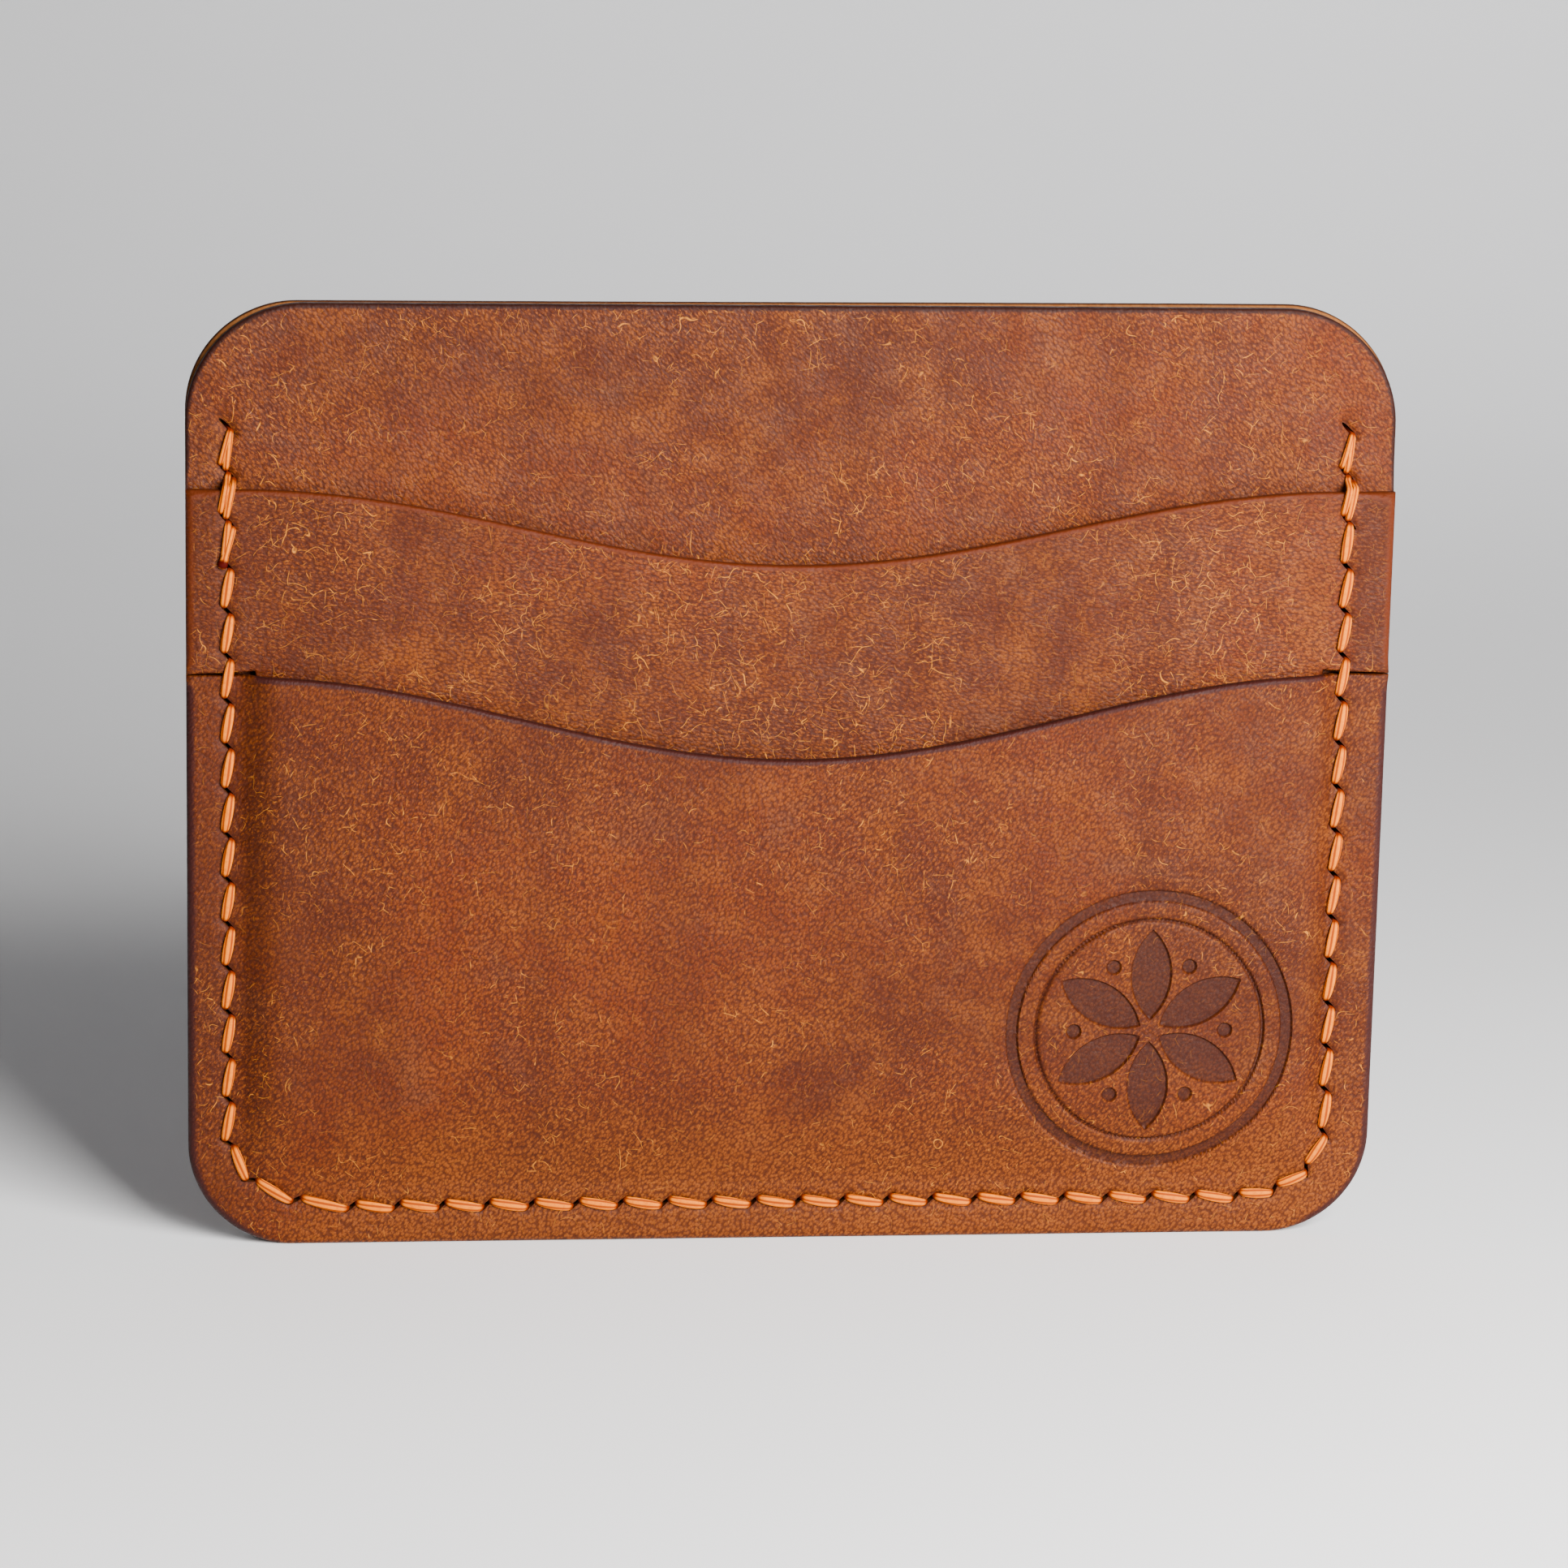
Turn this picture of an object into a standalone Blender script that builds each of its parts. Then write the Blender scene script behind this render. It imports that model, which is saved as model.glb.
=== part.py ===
"""Upright leather card holder with three card slots.

Four flat-cut leather pieces are held together by two saddle-stitched seams.  From back to
front they are the back panel, the front panel, the T-shaped upper pocket and the lower pocket.
The long seam runs down one side, round the bottom and up the other side.  A short hidden seam
closes the foot of the upper pocket, so that its cards stand higher than those in the lower one.

Frame: metres, +Z up, the front faces -Y, and the origin is the middle of the bottom of the
bounding box.  Outlines are drawn in the XZ plane, and every piece gets its thickness along Y.
"""
import math

import bmesh
import bpy
from mathutils import Vector
from mathutils.geometry import delaunay_2d_cdt

MM = 0.001

# Outline of the panels
WIDTH = 102.5 * MM
HEIGHT = 81.0 * MM
TOP_RADIUS = 10.0 * MM
BACK_TOP_RADIUS = 9.2 * MM
BOTTOM_RADIUS = 9.0 * MM
LEATHER = 1.2 * MM

# Clear space between neighbouring layers: pressed together at the seam, open inside a pocket
SEAM_GAP = 0.2 * MM
POCKET_GAP = 0.55 * MM

# Pocket mouths: level at both sides with a dip between them, of half width CURVE_HALF
CURVE_HALF = 46.0 * MM
UPPER_MOUTH = 65.5 * MM
UPPER_DIP = 6.3 * MM
LOWER_MOUTH = 49.8 * MM
LOWER_DIP = 7.0 * MM
BUTT_GAP = 0.15 * MM
STEM_HALF = 43.6 * MM
STEM_FOOT = 16.6 * MM
STEM_RADIUS = 2.0 * MM

# Long seam
PITCH = 3.85 * MM
SIDE_HALF = 47.5 * MM
SIDE_SHIFT = -0.3 * MM
SIDE_TOP = 70.7 * MM
SIDE_HOLES = 17
ROW_HEIGHT = 3.4 * MM
ROW_SHIFT = 1.2 * MM
ROW_HOLES = 21
CORNER_ANGLES = (math.radians(35.0), math.radians(63.0))
LEFT_RETURN = 3
RIGHT_RETURN = 2

# Short seam across the foot of the upper pocket
FOOT_ROW_HEIGHT = 19.0 * MM
FOOT_HOLES = 23

# Holes and thread
SLIT_LENGTH = 2.4 * MM
SLIT_WIDTH = 0.6 * MM
THREAD_RADIUS = 0.40 * MM
PAIRED_RADIUS = 0.22 * MM
PASS_RADIUS = 0.15 * MM
FOOT_THREAD_RADIUS = 0.13 * MM
THREAD_CLEARANCE = 0.05 * MM
SINGLE_SLOTS = (0.45 * MM, 0.45 * MM)
PAIRED_SLOTS = (0.90 * MM, 0.30 * MM)

# How far the layers stand off where no seam holds them down
LIFT_EDGE = 45.9 * MM
SIDE_RAMP = 4.4 * MM
FOOT_RAMP_START = 5.0 * MM
FOOT_RAMP = 11.0 * MM
STEM_RAMP_START = 20.0 * MM
STEM_RAMP = 8.0 * MM
STEM_SIDE_RAMP = 10.0 * MM
BACK_SIDE_RAMP = 6.0 * MM
UPPER_LIFT = POCKET_GAP - SEAM_GAP
LOWER_LIFT = 2.0 * POCKET_GAP + LEATHER - SEAM_GAP
BACK_LIFT = POCKET_GAP - SEAM_GAP
BACK_FLARE = 1.3 * MM
FLARE_START = 45.0 * MM
FLARE_LEFT = -40.0 * MM
FLARE_SPAN = 80.0 * MM
FLARE_REACH = 12.0 * MM

# Places of the layers along Y, centred on the whole thickness
FRONT_DEPTH = SEAM_GAP + LOWER_LIFT + LEATHER
BACK_DEPTH = LEATHER + SEAM_GAP + LEATHER + BACK_LIFT + BACK_FLARE
PANEL_Y = (FRONT_DEPTH - BACK_DEPTH) / 2.0
POCKET_Y = PANEL_Y - SEAM_GAP - LEATHER
BACK_Y = PANEL_Y + LEATHER + SEAM_GAP

ARC_STEPS = 8
CURVE_STEPS = 24

LEATHER_COLOUR = (0.30, 0.105, 0.036)
THREAD_COLOUR = (0.80, 0.26, 0.035)


def clear_scene():
    """Remove every object that a new scene starts with."""
    for thing in list(bpy.data.objects):
        bpy.data.objects.remove(thing, do_unlink=True)


def material(name, colour, roughness):
    """Make a plain Principled material."""
    finish = bpy.data.materials.new(name)
    finish.use_nodes = True
    shader = finish.node_tree.nodes["Principled BSDF"]
    shader.inputs["Base Color"].default_value = (*colour, 1.0)
    shader.inputs["Roughness"].default_value = roughness
    shader.inputs["Metallic"].default_value = 0.0
    return finish


def smooth(value):
    """Ease from 0 to 1 with a level start and a level end."""
    t = min(1.0, max(0.0, value))
    return t * t * (3.0 - 2.0 * t)


def ramp(value):
    """Rise from 0 to 1 as a quarter sine: steep at the seam and level at the plateau."""
    return math.sin(math.pi / 2.0 * min(1.0, max(0.0, value)))


def arc(centre_x, centre_z, radius, start, end):
    """Points of an arc between two angles in degrees, both ends included."""
    points = []
    for step in range(ARC_STEPS + 1):
        angle = math.radians(start + (end - start) * step / ARC_STEPS)
        points.append((centre_x + radius * math.cos(angle), centre_z + radius * math.sin(angle)))
    return points


def mouth_height(x, level, dip):
    """Height of a pocket mouth at x: a cosine dip between two level sides."""
    if abs(x) >= CURVE_HALF:
        return level
    return level - dip * (1.0 + math.cos(math.pi * x / CURVE_HALF)) / 2.0


def mouth_curve(level, dip):
    """Points of a pocket mouth from the right edge to the left one."""
    points = [(WIDTH / 2.0, level)]
    for step in range(CURVE_STEPS + 1):
        x = CURVE_HALF * (1.0 - 2.0 * step / CURVE_STEPS)
        points.append((x, mouth_height(x, level, dip)))
    points.append((-WIDTH / 2.0, level))
    return points


def bottom_corners():
    """The two lower corners, from the left side to the right side."""
    left = arc(-WIDTH / 2.0 + BOTTOM_RADIUS, BOTTOM_RADIUS, BOTTOM_RADIUS, 180.0, 270.0)
    right = arc(WIDTH / 2.0 - BOTTOM_RADIUS, BOTTOM_RADIUS, BOTTOM_RADIUS, 270.0, 360.0)
    return left + right


def panel_outline(top_radius):
    """Whole panel: a rectangle with round corners, counter-clockwise."""
    right = arc(WIDTH / 2.0 - top_radius, HEIGHT - top_radius, top_radius, 0.0, 90.0)
    left = arc(-WIDTH / 2.0 + top_radius, HEIGHT - top_radius, top_radius, 90.0, 180.0)
    return bottom_corners() + right + left


def lower_pocket_outline():
    """Lower pocket: the foot of the panel up to the lower mouth."""
    return bottom_corners() + mouth_curve(LOWER_MOUTH, LOWER_DIP)


def upper_pocket_outline():
    """Upper pocket: a T with a short tab at each side and a stem behind the lower pocket."""
    foot = STEM_FOOT + STEM_RADIUS
    side = STEM_HALF - STEM_RADIUS
    tab = LOWER_MOUTH + BUTT_GAP
    left = arc(-side, foot, STEM_RADIUS, 180.0, 270.0)
    right = arc(side, foot, STEM_RADIUS, 270.0, 360.0)
    stem = [(-STEM_HALF, tab)] + left + right + [(STEM_HALF, tab)]
    return [(-WIDTH / 2.0, tab)] + stem + [(WIDTH / 2.0, tab)] + mouth_curve(UPPER_MOUTH, UPPER_DIP)


def side_column(side):
    """Holes of one side of the long seam, from the top down."""
    x = side * SIDE_HALF + SIDE_SHIFT
    return [(x, SIDE_TOP - PITCH * step) for step in range(SIDE_HOLES)]


def bottom_row():
    """Holes of the bottom row, from left to right."""
    first = ROW_SHIFT - PITCH * (ROW_HOLES - 1) / 2.0
    return [(first + PITCH * step, ROW_HEIGHT) for step in range(ROW_HOLES)]


def corner_holes(side, row_end):
    """The two holes on the quarter ellipse between a side and the end of the bottom row."""
    column_x, column_z = side_column(side)[-1]
    reach = abs(column_x - row_end[0])
    drop = column_z - row_end[1]
    holes = []
    for angle in CORNER_ANGLES:
        x = row_end[0] + side * reach * math.cos(angle)
        holes.append((x, column_z - drop * math.sin(angle)))
    return holes


def long_seam():
    """All holes of the long seam, down the left side and up the right side."""
    row = bottom_row()
    left = side_column(-1.0) + corner_holes(-1.0, row[0])
    right = side_column(1.0) + corner_holes(1.0, row[-1])
    return left + row + right[::-1]


def foot_seam():
    """All holes of the seam across the stem of the upper pocket."""
    first = -PITCH * (FOOT_HOLES - 1) / 2.0
    return [(first + PITCH * step, FOOT_ROW_HEIGHT) for step in range(FOOT_HOLES)]


def slit_directions(holes):
    """Unit direction of each slit: the seam's own direction turned by 45 degrees."""
    directions = []
    for index in range(len(holes)):
        before = holes[max(0, index - 1)]
        after = holes[min(len(holes) - 1, index + 1)]
        along = Vector((after[0] - before[0], after[1] - before[1])).normalized()
        turned = Vector((along.x - along.y, along.x + along.y)).normalized()
        directions.append(turned)
    return directions


def slit_corners(hole, direction):
    """The four corners of one slit."""
    centre = Vector(hole)
    along = direction * SLIT_LENGTH / 2.0
    across = Vector((-direction.y, direction.x)) * SLIT_WIDTH / 2.0
    return [tuple(centre + along * a + across * b) for a, b in ((1, 1), (-1, 1), (-1, -1), (1, -1))]


def slits(holes, keep):
    """Slits of a seam in the holes that keep accepts, given each hole's height."""
    directions = slit_directions(holes)
    return [slit_corners(hole, way) for hole, way in zip(holes, directions) if keep(hole[1])]


def upper_lift(x, z):
    """How far the upper pocket stands off the front panel."""
    across = ramp((LIFT_EDGE - abs(x)) / STEM_SIDE_RAMP)
    return UPPER_LIFT * across * ramp((z - STEM_RAMP_START) / STEM_RAMP)


def lower_lift(x, z):
    """How far the lower pocket stands off, so that it clears the stem of the upper pocket."""
    return LOWER_LIFT * ramp((LIFT_EDGE - abs(x)) / SIDE_RAMP) * ramp((z - FOOT_RAMP_START) / FOOT_RAMP)


def seam_distance(x, z):
    """Distance from the nearer column of the long seam, level with its top hole or below it."""
    above = max(0.0, z - SIDE_TOP)
    inside = max(0.0, SIDE_HALF - abs(x))
    return math.hypot(above, inside)


def back_lift(x, z):
    """How far the back panel stands off: a pocket's room, and a flare at the top right."""
    room = ramp((LIFT_EDGE - abs(x)) / BACK_SIDE_RAMP) * ramp((z - FOOT_RAMP_START) / FOOT_RAMP)
    free = smooth(seam_distance(x, z) / FLARE_REACH)
    opening = smooth((z - FLARE_START) / (HEIGHT - FLARE_START))
    across = smooth((x - FLARE_LEFT) / FLARE_SPAN)
    return BACK_LIFT * room + BACK_FLARE * free * opening * across


def no_lift(x, z):
    """A piece that lies flat."""
    return 0.0


def crease_lines(xs, zs):
    """Straight creases across a sheet, up it at each x and its mirror image and across it at each z."""
    reach = max(xs)
    upright = [((side * x, min(zs)), (side * x, max(zs))) for x in xs for side in (-1.0, 1.0)]
    level = [((-reach, z), (reach, z)) for z in zs]
    return upright + level


def point_inside(point, loop):
    """Even-odd test of a point against a closed loop."""
    x, z = point
    inside = False
    for (ax, az), (bx, bz) in zip(loop, loop[1:] + loop[:1]):
        if (az > z) != (bz > z) and x < (bx - ax) * (z - az) / (bz - az) + ax:
            inside = not inside
    return inside


def sheet_object(name, outline, holes, creases, front_y, lift, finish):
    """Cut a sheet to its outline and slits, bend it by its lift along Y and give it thickness."""
    points = list(outline)
    loops = [list(range(len(outline)))]
    for hole in holes:
        loops.append(list(range(len(points), len(points) + len(hole))))
        points.extend(hole)
    edges = [pair for loop in loops for pair in zip(loop, loop[1:] + loop[:1])]
    for start, end in creases:
        edges.append((len(points), len(points) + 1))
        points.extend((start, end))
    spots, _, faces, _, _, _ = delaunay_2d_cdt([Vector(p) for p in points], edges, [], 0, 1e-7)
    build = bmesh.new()
    corners = [build.verts.new((spot.x, front_y + lift(spot.x, spot.y), spot.y)) for spot in spots]
    for face in faces:
        middle = sum((spots[i] for i in face), Vector((0.0, 0.0))) / len(face)
        on_sheet = point_inside(middle, outline)
        if on_sheet and not any(point_inside(middle, hole) for hole in holes):
            build.faces.new([corners[i] for i in face])
    loose = [corner for corner in build.verts if not corner.link_faces]
    bmesh.ops.delete(build, geom=loose, context="VERTS")
    grown = bmesh.ops.extrude_face_region(build, geom=build.faces[:], use_keep_orig=True)
    moved = [item for item in grown["geom"] if isinstance(item, bmesh.types.BMVert)]
    bmesh.ops.translate(build, verts=moved, vec=(0.0, LEATHER, 0.0))
    bmesh.ops.recalc_face_normals(build, faces=build.faces[:])
    mesh = bpy.data.meshes.new(name)
    build.to_mesh(mesh)
    build.free()
    mesh.materials.append(finish)
    piece = bpy.data.objects.new(name, mesh)
    bpy.context.scene.collection.objects.link(piece)
    return piece


def lower_pocket_creases():
    """Creases that carry the rise of the lower pocket."""
    rise = [LIFT_EDGE - SIDE_RAMP * share for share in (0.0, 0.2, 0.4, 0.65, 1.0)]
    foot = [FOOT_RAMP_START + FOOT_RAMP * share for share in (0.0, 0.15, 0.35, 0.6, 1.0)]
    return crease_lines(rise + [20.0 * MM], foot + [32.0 * MM, LOWER_MOUTH])


def upper_pocket_creases():
    """Creases that carry the shallow lift of the upper pocket."""
    rise = [LIFT_EDGE - STEM_SIDE_RAMP * share for share in (0.0, 0.35, 1.0)]
    foot = [STEM_RAMP_START + STEM_RAMP * share for share in (0.0, 0.4, 1.0)]
    return crease_lines(rise, foot + [45.0 * MM, UPPER_MOUTH])


def back_panel_creases():
    """Creases that carry the room and the flare of the back panel."""
    rise = [LIFT_EDGE - BACK_SIDE_RAMP * share for share in (0.0, 0.35, 1.0)]
    foot = [FOOT_RAMP_START + FOOT_RAMP * share for share in (0.0, 0.35, 1.0)]
    opening = [FLARE_START, 55.0 * MM, 63.0 * MM, SIDE_TOP, 75.0 * MM, 79.0 * MM]
    return crease_lines(rise + [12.0 * MM, 28.0 * MM], foot + opening)


def slot_offsets(count):
    """Places of the strands along a slit, the outer one first."""
    return SINGLE_SLOTS if count <= 2 else PAIRED_SLOTS


def strand_radius(paired):
    """Radius of a strand between two holes."""
    return PAIRED_RADIUS if paired else THREAD_RADIUS


class SeamWalk:
    """Follows one thread from its first end to its last, with a run between each two holes.

    A saddle stitch is one thread with a needle at each end.  The runs lie on the front and the
    back of the work by turns, because the thread goes through the leather at every hole.
    """

    def __init__(self, holes, order, front_level, back_level, full_radius):
        self.holes = holes
        self.order = order
        self.directions = slit_directions(holes)
        self.front_level = front_level
        self.back_level = back_level
        self.full_radius = full_radius
        self.passes = [order[1:-1].count(index) for index in range(len(holes))]
        self.runs = {}
        for start, end in zip(order, order[1:]):
            interval = min(start, end)
            self.runs[interval] = self.runs.get(interval, 0) + 1
        self.used = {}
        self.points = []

    def slot(self, index, interval, face):
        """Place along the slit for the end of a run, with the outer slots used first."""
        offsets = slot_offsets(self.passes[index])
        key = (index, interval, face)
        turn = self.used.get(key, 0)
        self.used[key] = turn + 1
        ahead = interval == index
        front_side = 1.0 if ahead else -1.0
        side = front_side if face == "front" else -front_side
        order = turn if side > 0.0 else 1 - turn
        return side * offsets[order % 2]

    def place(self, index, offset):
        """Point in the XZ plane at an offset along a slit."""
        return Vector(self.holes[index]) + self.directions[index] * offset

    def level(self, face, spot):
        """Height of the leather's surface along Y, front or back, at a point."""
        return self.front_level(spot.x, spot.y) if face == "front" else self.back_level(spot.x, spot.y)

    def add(self, spot, surface, radius, outward):
        """Add one point of the thread at its radius above the surface."""
        y = surface + outward * (radius + THREAD_CLEARANCE)
        self.points.append((spot.x, y, spot.y, radius))

    def trace(self):
        """Work out every point of the thread."""
        face = "front"
        for start, end in zip(self.order, self.order[1:]):
            interval = min(start, end)
            outward = -1.0 if face == "front" else 1.0
            paired = self.runs[interval] > 2
            radius = min(self.full_radius, strand_radius(paired))
            first = self.place(start, self.slot(start, interval, face))
            last = self.place(end, self.slot(end, interval, face))
            levels = (self.level(face, first), self.level(face, last))
            middle = first.lerp(last, 0.5)
            top = max(*levels, self.level(face, middle), key=lambda value: outward * value)
            self.add(first, levels[0], PASS_RADIUS, outward)
            self.add(first.lerp(last, 0.2), top, radius, outward)
            self.add(first.lerp(last, 0.8), top, radius, outward)
            self.add(last, levels[1], PASS_RADIUS, outward)
            face = "back" if face == "front" else "front"
        return self.points


def thread_object(name, points, finish):
    """One strand of thread: a tube along straight runs, with a radius at each point."""
    curve = bpy.data.curves.new(name, "CURVE")
    curve.dimensions = "3D"
    curve.bevel_depth = THREAD_RADIUS
    curve.bevel_resolution = 1
    curve.render_resolution_u = 0
    curve.use_fill_caps = True
    spline = curve.splines.new("POLY")
    spline.points.add(len(points) - 1)
    for target, (x, y, z, radius) in zip(spline.points, points):
        target.co = (x, y, z, 1.0)
        target.radius = radius / THREAD_RADIUS
    curve.materials.append(finish)
    piece = bpy.data.objects.new(name, curve)
    bpy.context.scene.collection.objects.link(piece)
    return piece


def long_front_level(x, z):
    """Front surface under the long seam: the panel above the tabs and the pockets below."""
    if z > UPPER_MOUTH:
        return PANEL_Y
    if z > LOWER_MOUTH:
        return POCKET_Y - upper_lift(x, z)
    return POCKET_Y - lower_lift(x, z)


def long_back_level(x, z):
    """Back surface under the long seam."""
    return BACK_Y + LEATHER + back_lift(x, z)


def foot_front_level(x, z):
    """Front surface of the stem at its foot."""
    return POCKET_Y


def foot_back_level(x, z):
    """Back surface of the front panel, inside the back pocket."""
    return PANEL_Y + LEATHER


def long_seam_order(count):
    """Holes in the order of one thread, which starts and ends beside the left return.

    Both needles stitch back over the last holes at each end of the seam, to lock it.
    """
    last = count - 1
    out = list(range(LEFT_RETURN, 0, -1)) + list(range(0, last))
    turn = list(range(last, last - RIGHT_RETURN - 1, -1)) + list(range(last - RIGHT_RETURN + 1, last + 1))
    return out + turn + list(range(last - 1, -1, -1)) + list(range(1, LEFT_RETURN + 1))


def foot_seam_order(count):
    """Holes in the order of one thread: out along the row and back again."""
    return list(range(0, count)) + list(range(count - 2, -1, -1))


def main():
    """Build the four leather pieces and the two threads."""
    clear_scene()
    leather = material("oiled_leather", LEATHER_COLOUR, 0.55)
    thread = material("waxed_thread", THREAD_COLOUR, 0.50)
    seam = long_seam()
    foot = foot_seam()
    whole = slits(seam, lambda z: True)
    foot_slits = slits(foot, lambda z: True)
    tabs = slits(seam, lambda z: LOWER_MOUTH < z < UPPER_MOUTH)
    below = slits(seam, lambda z: z < LOWER_MOUTH)
    sheet_object("back_panel", panel_outline(BACK_TOP_RADIUS), whole, back_panel_creases(),
                 BACK_Y, back_lift, leather)
    sheet_object("front_panel", panel_outline(TOP_RADIUS), whole + foot_slits, [],
                 PANEL_Y, no_lift, leather)
    sheet_object("upper_pocket", upper_pocket_outline(), tabs + foot_slits, upper_pocket_creases(),
                 POCKET_Y, lambda x, z: -upper_lift(x, z), leather)
    sheet_object("lower_pocket", lower_pocket_outline(), below, lower_pocket_creases(),
                 POCKET_Y, lambda x, z: -lower_lift(x, z), leather)
    long_walk = SeamWalk(seam, long_seam_order(len(seam)), long_front_level, long_back_level, THREAD_RADIUS)
    foot_walk = SeamWalk(foot, foot_seam_order(len(foot)), foot_front_level, foot_back_level,
                         FOOT_THREAD_RADIUS)
    thread_object("seam_thread", long_walk.trace(), thread)
    thread_object("pocket_foot_thread", foot_walk.trace(), thread)


main()
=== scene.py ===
"""Upright leather card holder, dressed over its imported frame.

Four leather pieces are cut as fine sheets with real slits, rounded and burnished edges and a
pressed maker's mark, and two waxed threads are sewn through those slits as saddle stitches.

Lengths inside the script are millimetres, and meshes are written in metres.  X is to the right,
Z is up, and the front faces -Y.
"""
import logging
import math
from collections.abc import Callable, Sequence
from dataclasses import dataclass, field
from enum import Enum

import bpy
import numpy as np
from mathutils import Matrix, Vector
from mathutils.geometry import delaunay_2d_cdt


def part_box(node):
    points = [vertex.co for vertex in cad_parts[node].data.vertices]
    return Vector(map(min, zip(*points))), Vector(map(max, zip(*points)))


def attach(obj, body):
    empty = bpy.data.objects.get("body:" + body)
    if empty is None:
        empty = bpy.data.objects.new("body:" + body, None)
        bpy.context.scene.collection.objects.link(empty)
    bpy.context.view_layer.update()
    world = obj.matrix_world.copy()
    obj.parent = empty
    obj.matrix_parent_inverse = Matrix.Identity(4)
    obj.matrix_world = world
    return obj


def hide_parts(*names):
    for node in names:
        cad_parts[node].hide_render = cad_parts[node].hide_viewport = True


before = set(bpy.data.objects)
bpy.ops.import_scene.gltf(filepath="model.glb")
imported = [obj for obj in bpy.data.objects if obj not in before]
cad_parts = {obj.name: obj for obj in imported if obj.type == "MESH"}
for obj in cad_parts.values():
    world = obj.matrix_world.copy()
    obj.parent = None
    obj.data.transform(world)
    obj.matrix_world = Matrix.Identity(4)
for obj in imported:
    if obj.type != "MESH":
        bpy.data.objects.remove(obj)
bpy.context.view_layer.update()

MM = 0.001
LOG = logging.getLogger("card_holder")


class Face(Enum):
    """The two faces of the work, each with the sign of its outward direction along Y."""

    FRONT = -1.0
    BACK = 1.0


class Slot(Enum):
    """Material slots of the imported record."""

    LEATHER = "leather"
    THREAD = "thread"


Pair = tuple[float, float]
Triple = tuple[float, float, float]
Value = float | tuple[float, ...] | bpy.types.NodeSocket


# ---------------------------------------------------------------------------------------------
# Whole-array curves and distances
# ---------------------------------------------------------------------------------------------

def ease(value: np.ndarray | float) -> np.ndarray:
    """Rise from 0 to 1 as 3t^2 - 2t^3, level at both ends."""
    t = np.clip(value, 0.0, 1.0)
    return t * t * (3.0 - 2.0 * t)


def spring_up(value: np.ndarray | float, softness: float = 0.08) -> np.ndarray:
    """Rise from 0 to 1 as a quarter sine whose start is rounded off.

    The argument t in 0..1 is first bent to (sqrt(t^2 + k^2) - k) / (sqrt(1 + k^2) - k), which
    starts level and then runs straight; its quarter sine gives the rise.

    Args:
        value: where along the ramp, 0 at the seam and 1 at the plateau.
        softness: k, how much of the ramp the level start takes.

    Returns:
        The rise, from 0 to 1.
    """
    t = np.clip(value, 0.0, 1.0)
    bent = (np.sqrt(t * t + softness ** 2) - softness) / (math.sqrt(1.0 + softness ** 2) - softness)
    return np.sin(np.pi / 2.0 * bent)


def bell(distance: np.ndarray, width: float) -> np.ndarray:
    """Gaussian exp(-(d/w)^2)."""
    return np.exp(-(distance / width) ** 2)


def arc(centre: Pair, radius: float, start: float, end: float, step: float) -> np.ndarray:
    """Points of an arc, without its last point.

    Args:
        centre: centre in the XZ plane.
        radius: radius of the arc.
        start: first angle in degrees.
        end: last angle in degrees.
        step: longest distance between points.

    Returns:
        An array of points, centre + radius * (cos a, sin a).
    """
    count = max(4, math.ceil(abs(math.radians(end - start)) * radius / step))
    angles = np.radians(np.linspace(start, end, count, endpoint=False))
    return np.array(centre) + radius * np.column_stack([np.cos(angles), np.sin(angles)])


def circle(count: int) -> np.ndarray:
    """Points (cos a, sin a) at even angles round a unit circle."""
    angle = np.arange(count) * 2.0 * np.pi / count
    return np.column_stack([np.cos(angle), np.sin(angle)])


def line(start: Sequence[float], end: Sequence[float], step: float) -> np.ndarray:
    """Points of a straight line at even steps, without its last point."""
    first, last = np.array(start, float), np.array(end, float)
    count = max(1, math.ceil(np.linalg.norm(last - first) / step))
    return first + (last - first) * (np.arange(count) / count)[:, None]


def chunks(points: np.ndarray, longest: int = 3000) -> list[np.ndarray]:
    """Split many points into short runs, so that tables of all pairs stay small."""
    return np.array_split(points, max(1, len(points) // longest))


def segment_distance(points: np.ndarray, starts: np.ndarray, ends: np.ndarray) -> np.ndarray:
    """Distance from each point to the nearest of many segments.

    For every pair the point is dropped onto the segment, |p - a - (b - a) * clip(t, 0, 1)| with
    t = (p - a).(b - a) / |b - a|^2, and the least distance is kept.

    Args:
        points: points, shape (n, 2).
        starts: first ends of the segments, shape (m, 2).
        ends: last ends of the segments, shape (m, 2).

    Returns:
        The distances, shape (n,).
    """
    along = ends - starts
    length2 = np.maximum((along ** 2).sum(1), 1e-12)
    found = []
    for chunk in chunks(points):
        offset = chunk[:, None, :] - starts[None]
        share = np.clip((offset * along[None]).sum(2) / length2, 0.0, 1.0)
        found.append(np.sqrt(((offset - along[None] * share[..., None]) ** 2).sum(2).min(1)))
    return np.concatenate(found)


def inside_loop(points: np.ndarray, loop: np.ndarray) -> np.ndarray:
    """Even-odd test of many points against one closed loop.

    Args:
        points: points, shape (n, 2).
        loop: corners of the loop, shape (m, 2).

    Returns:
        True for each point inside.
    """
    ax, az = loop[:, 0], loop[:, 1]
    bx, bz = np.roll(ax, -1), np.roll(az, -1)
    slope = (bx - ax) / np.where(bz == az, 1e-12, bz - az)
    found = []
    for chunk in chunks(points):
        x, z = chunk[:, :1], chunk[:, 1:]
        crosses = ((az > z) != (bz > z)) & (x < slope * (z - az) + ax)
        found.append(crosses.sum(1) % 2 == 1)
    return np.concatenate(found)


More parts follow.
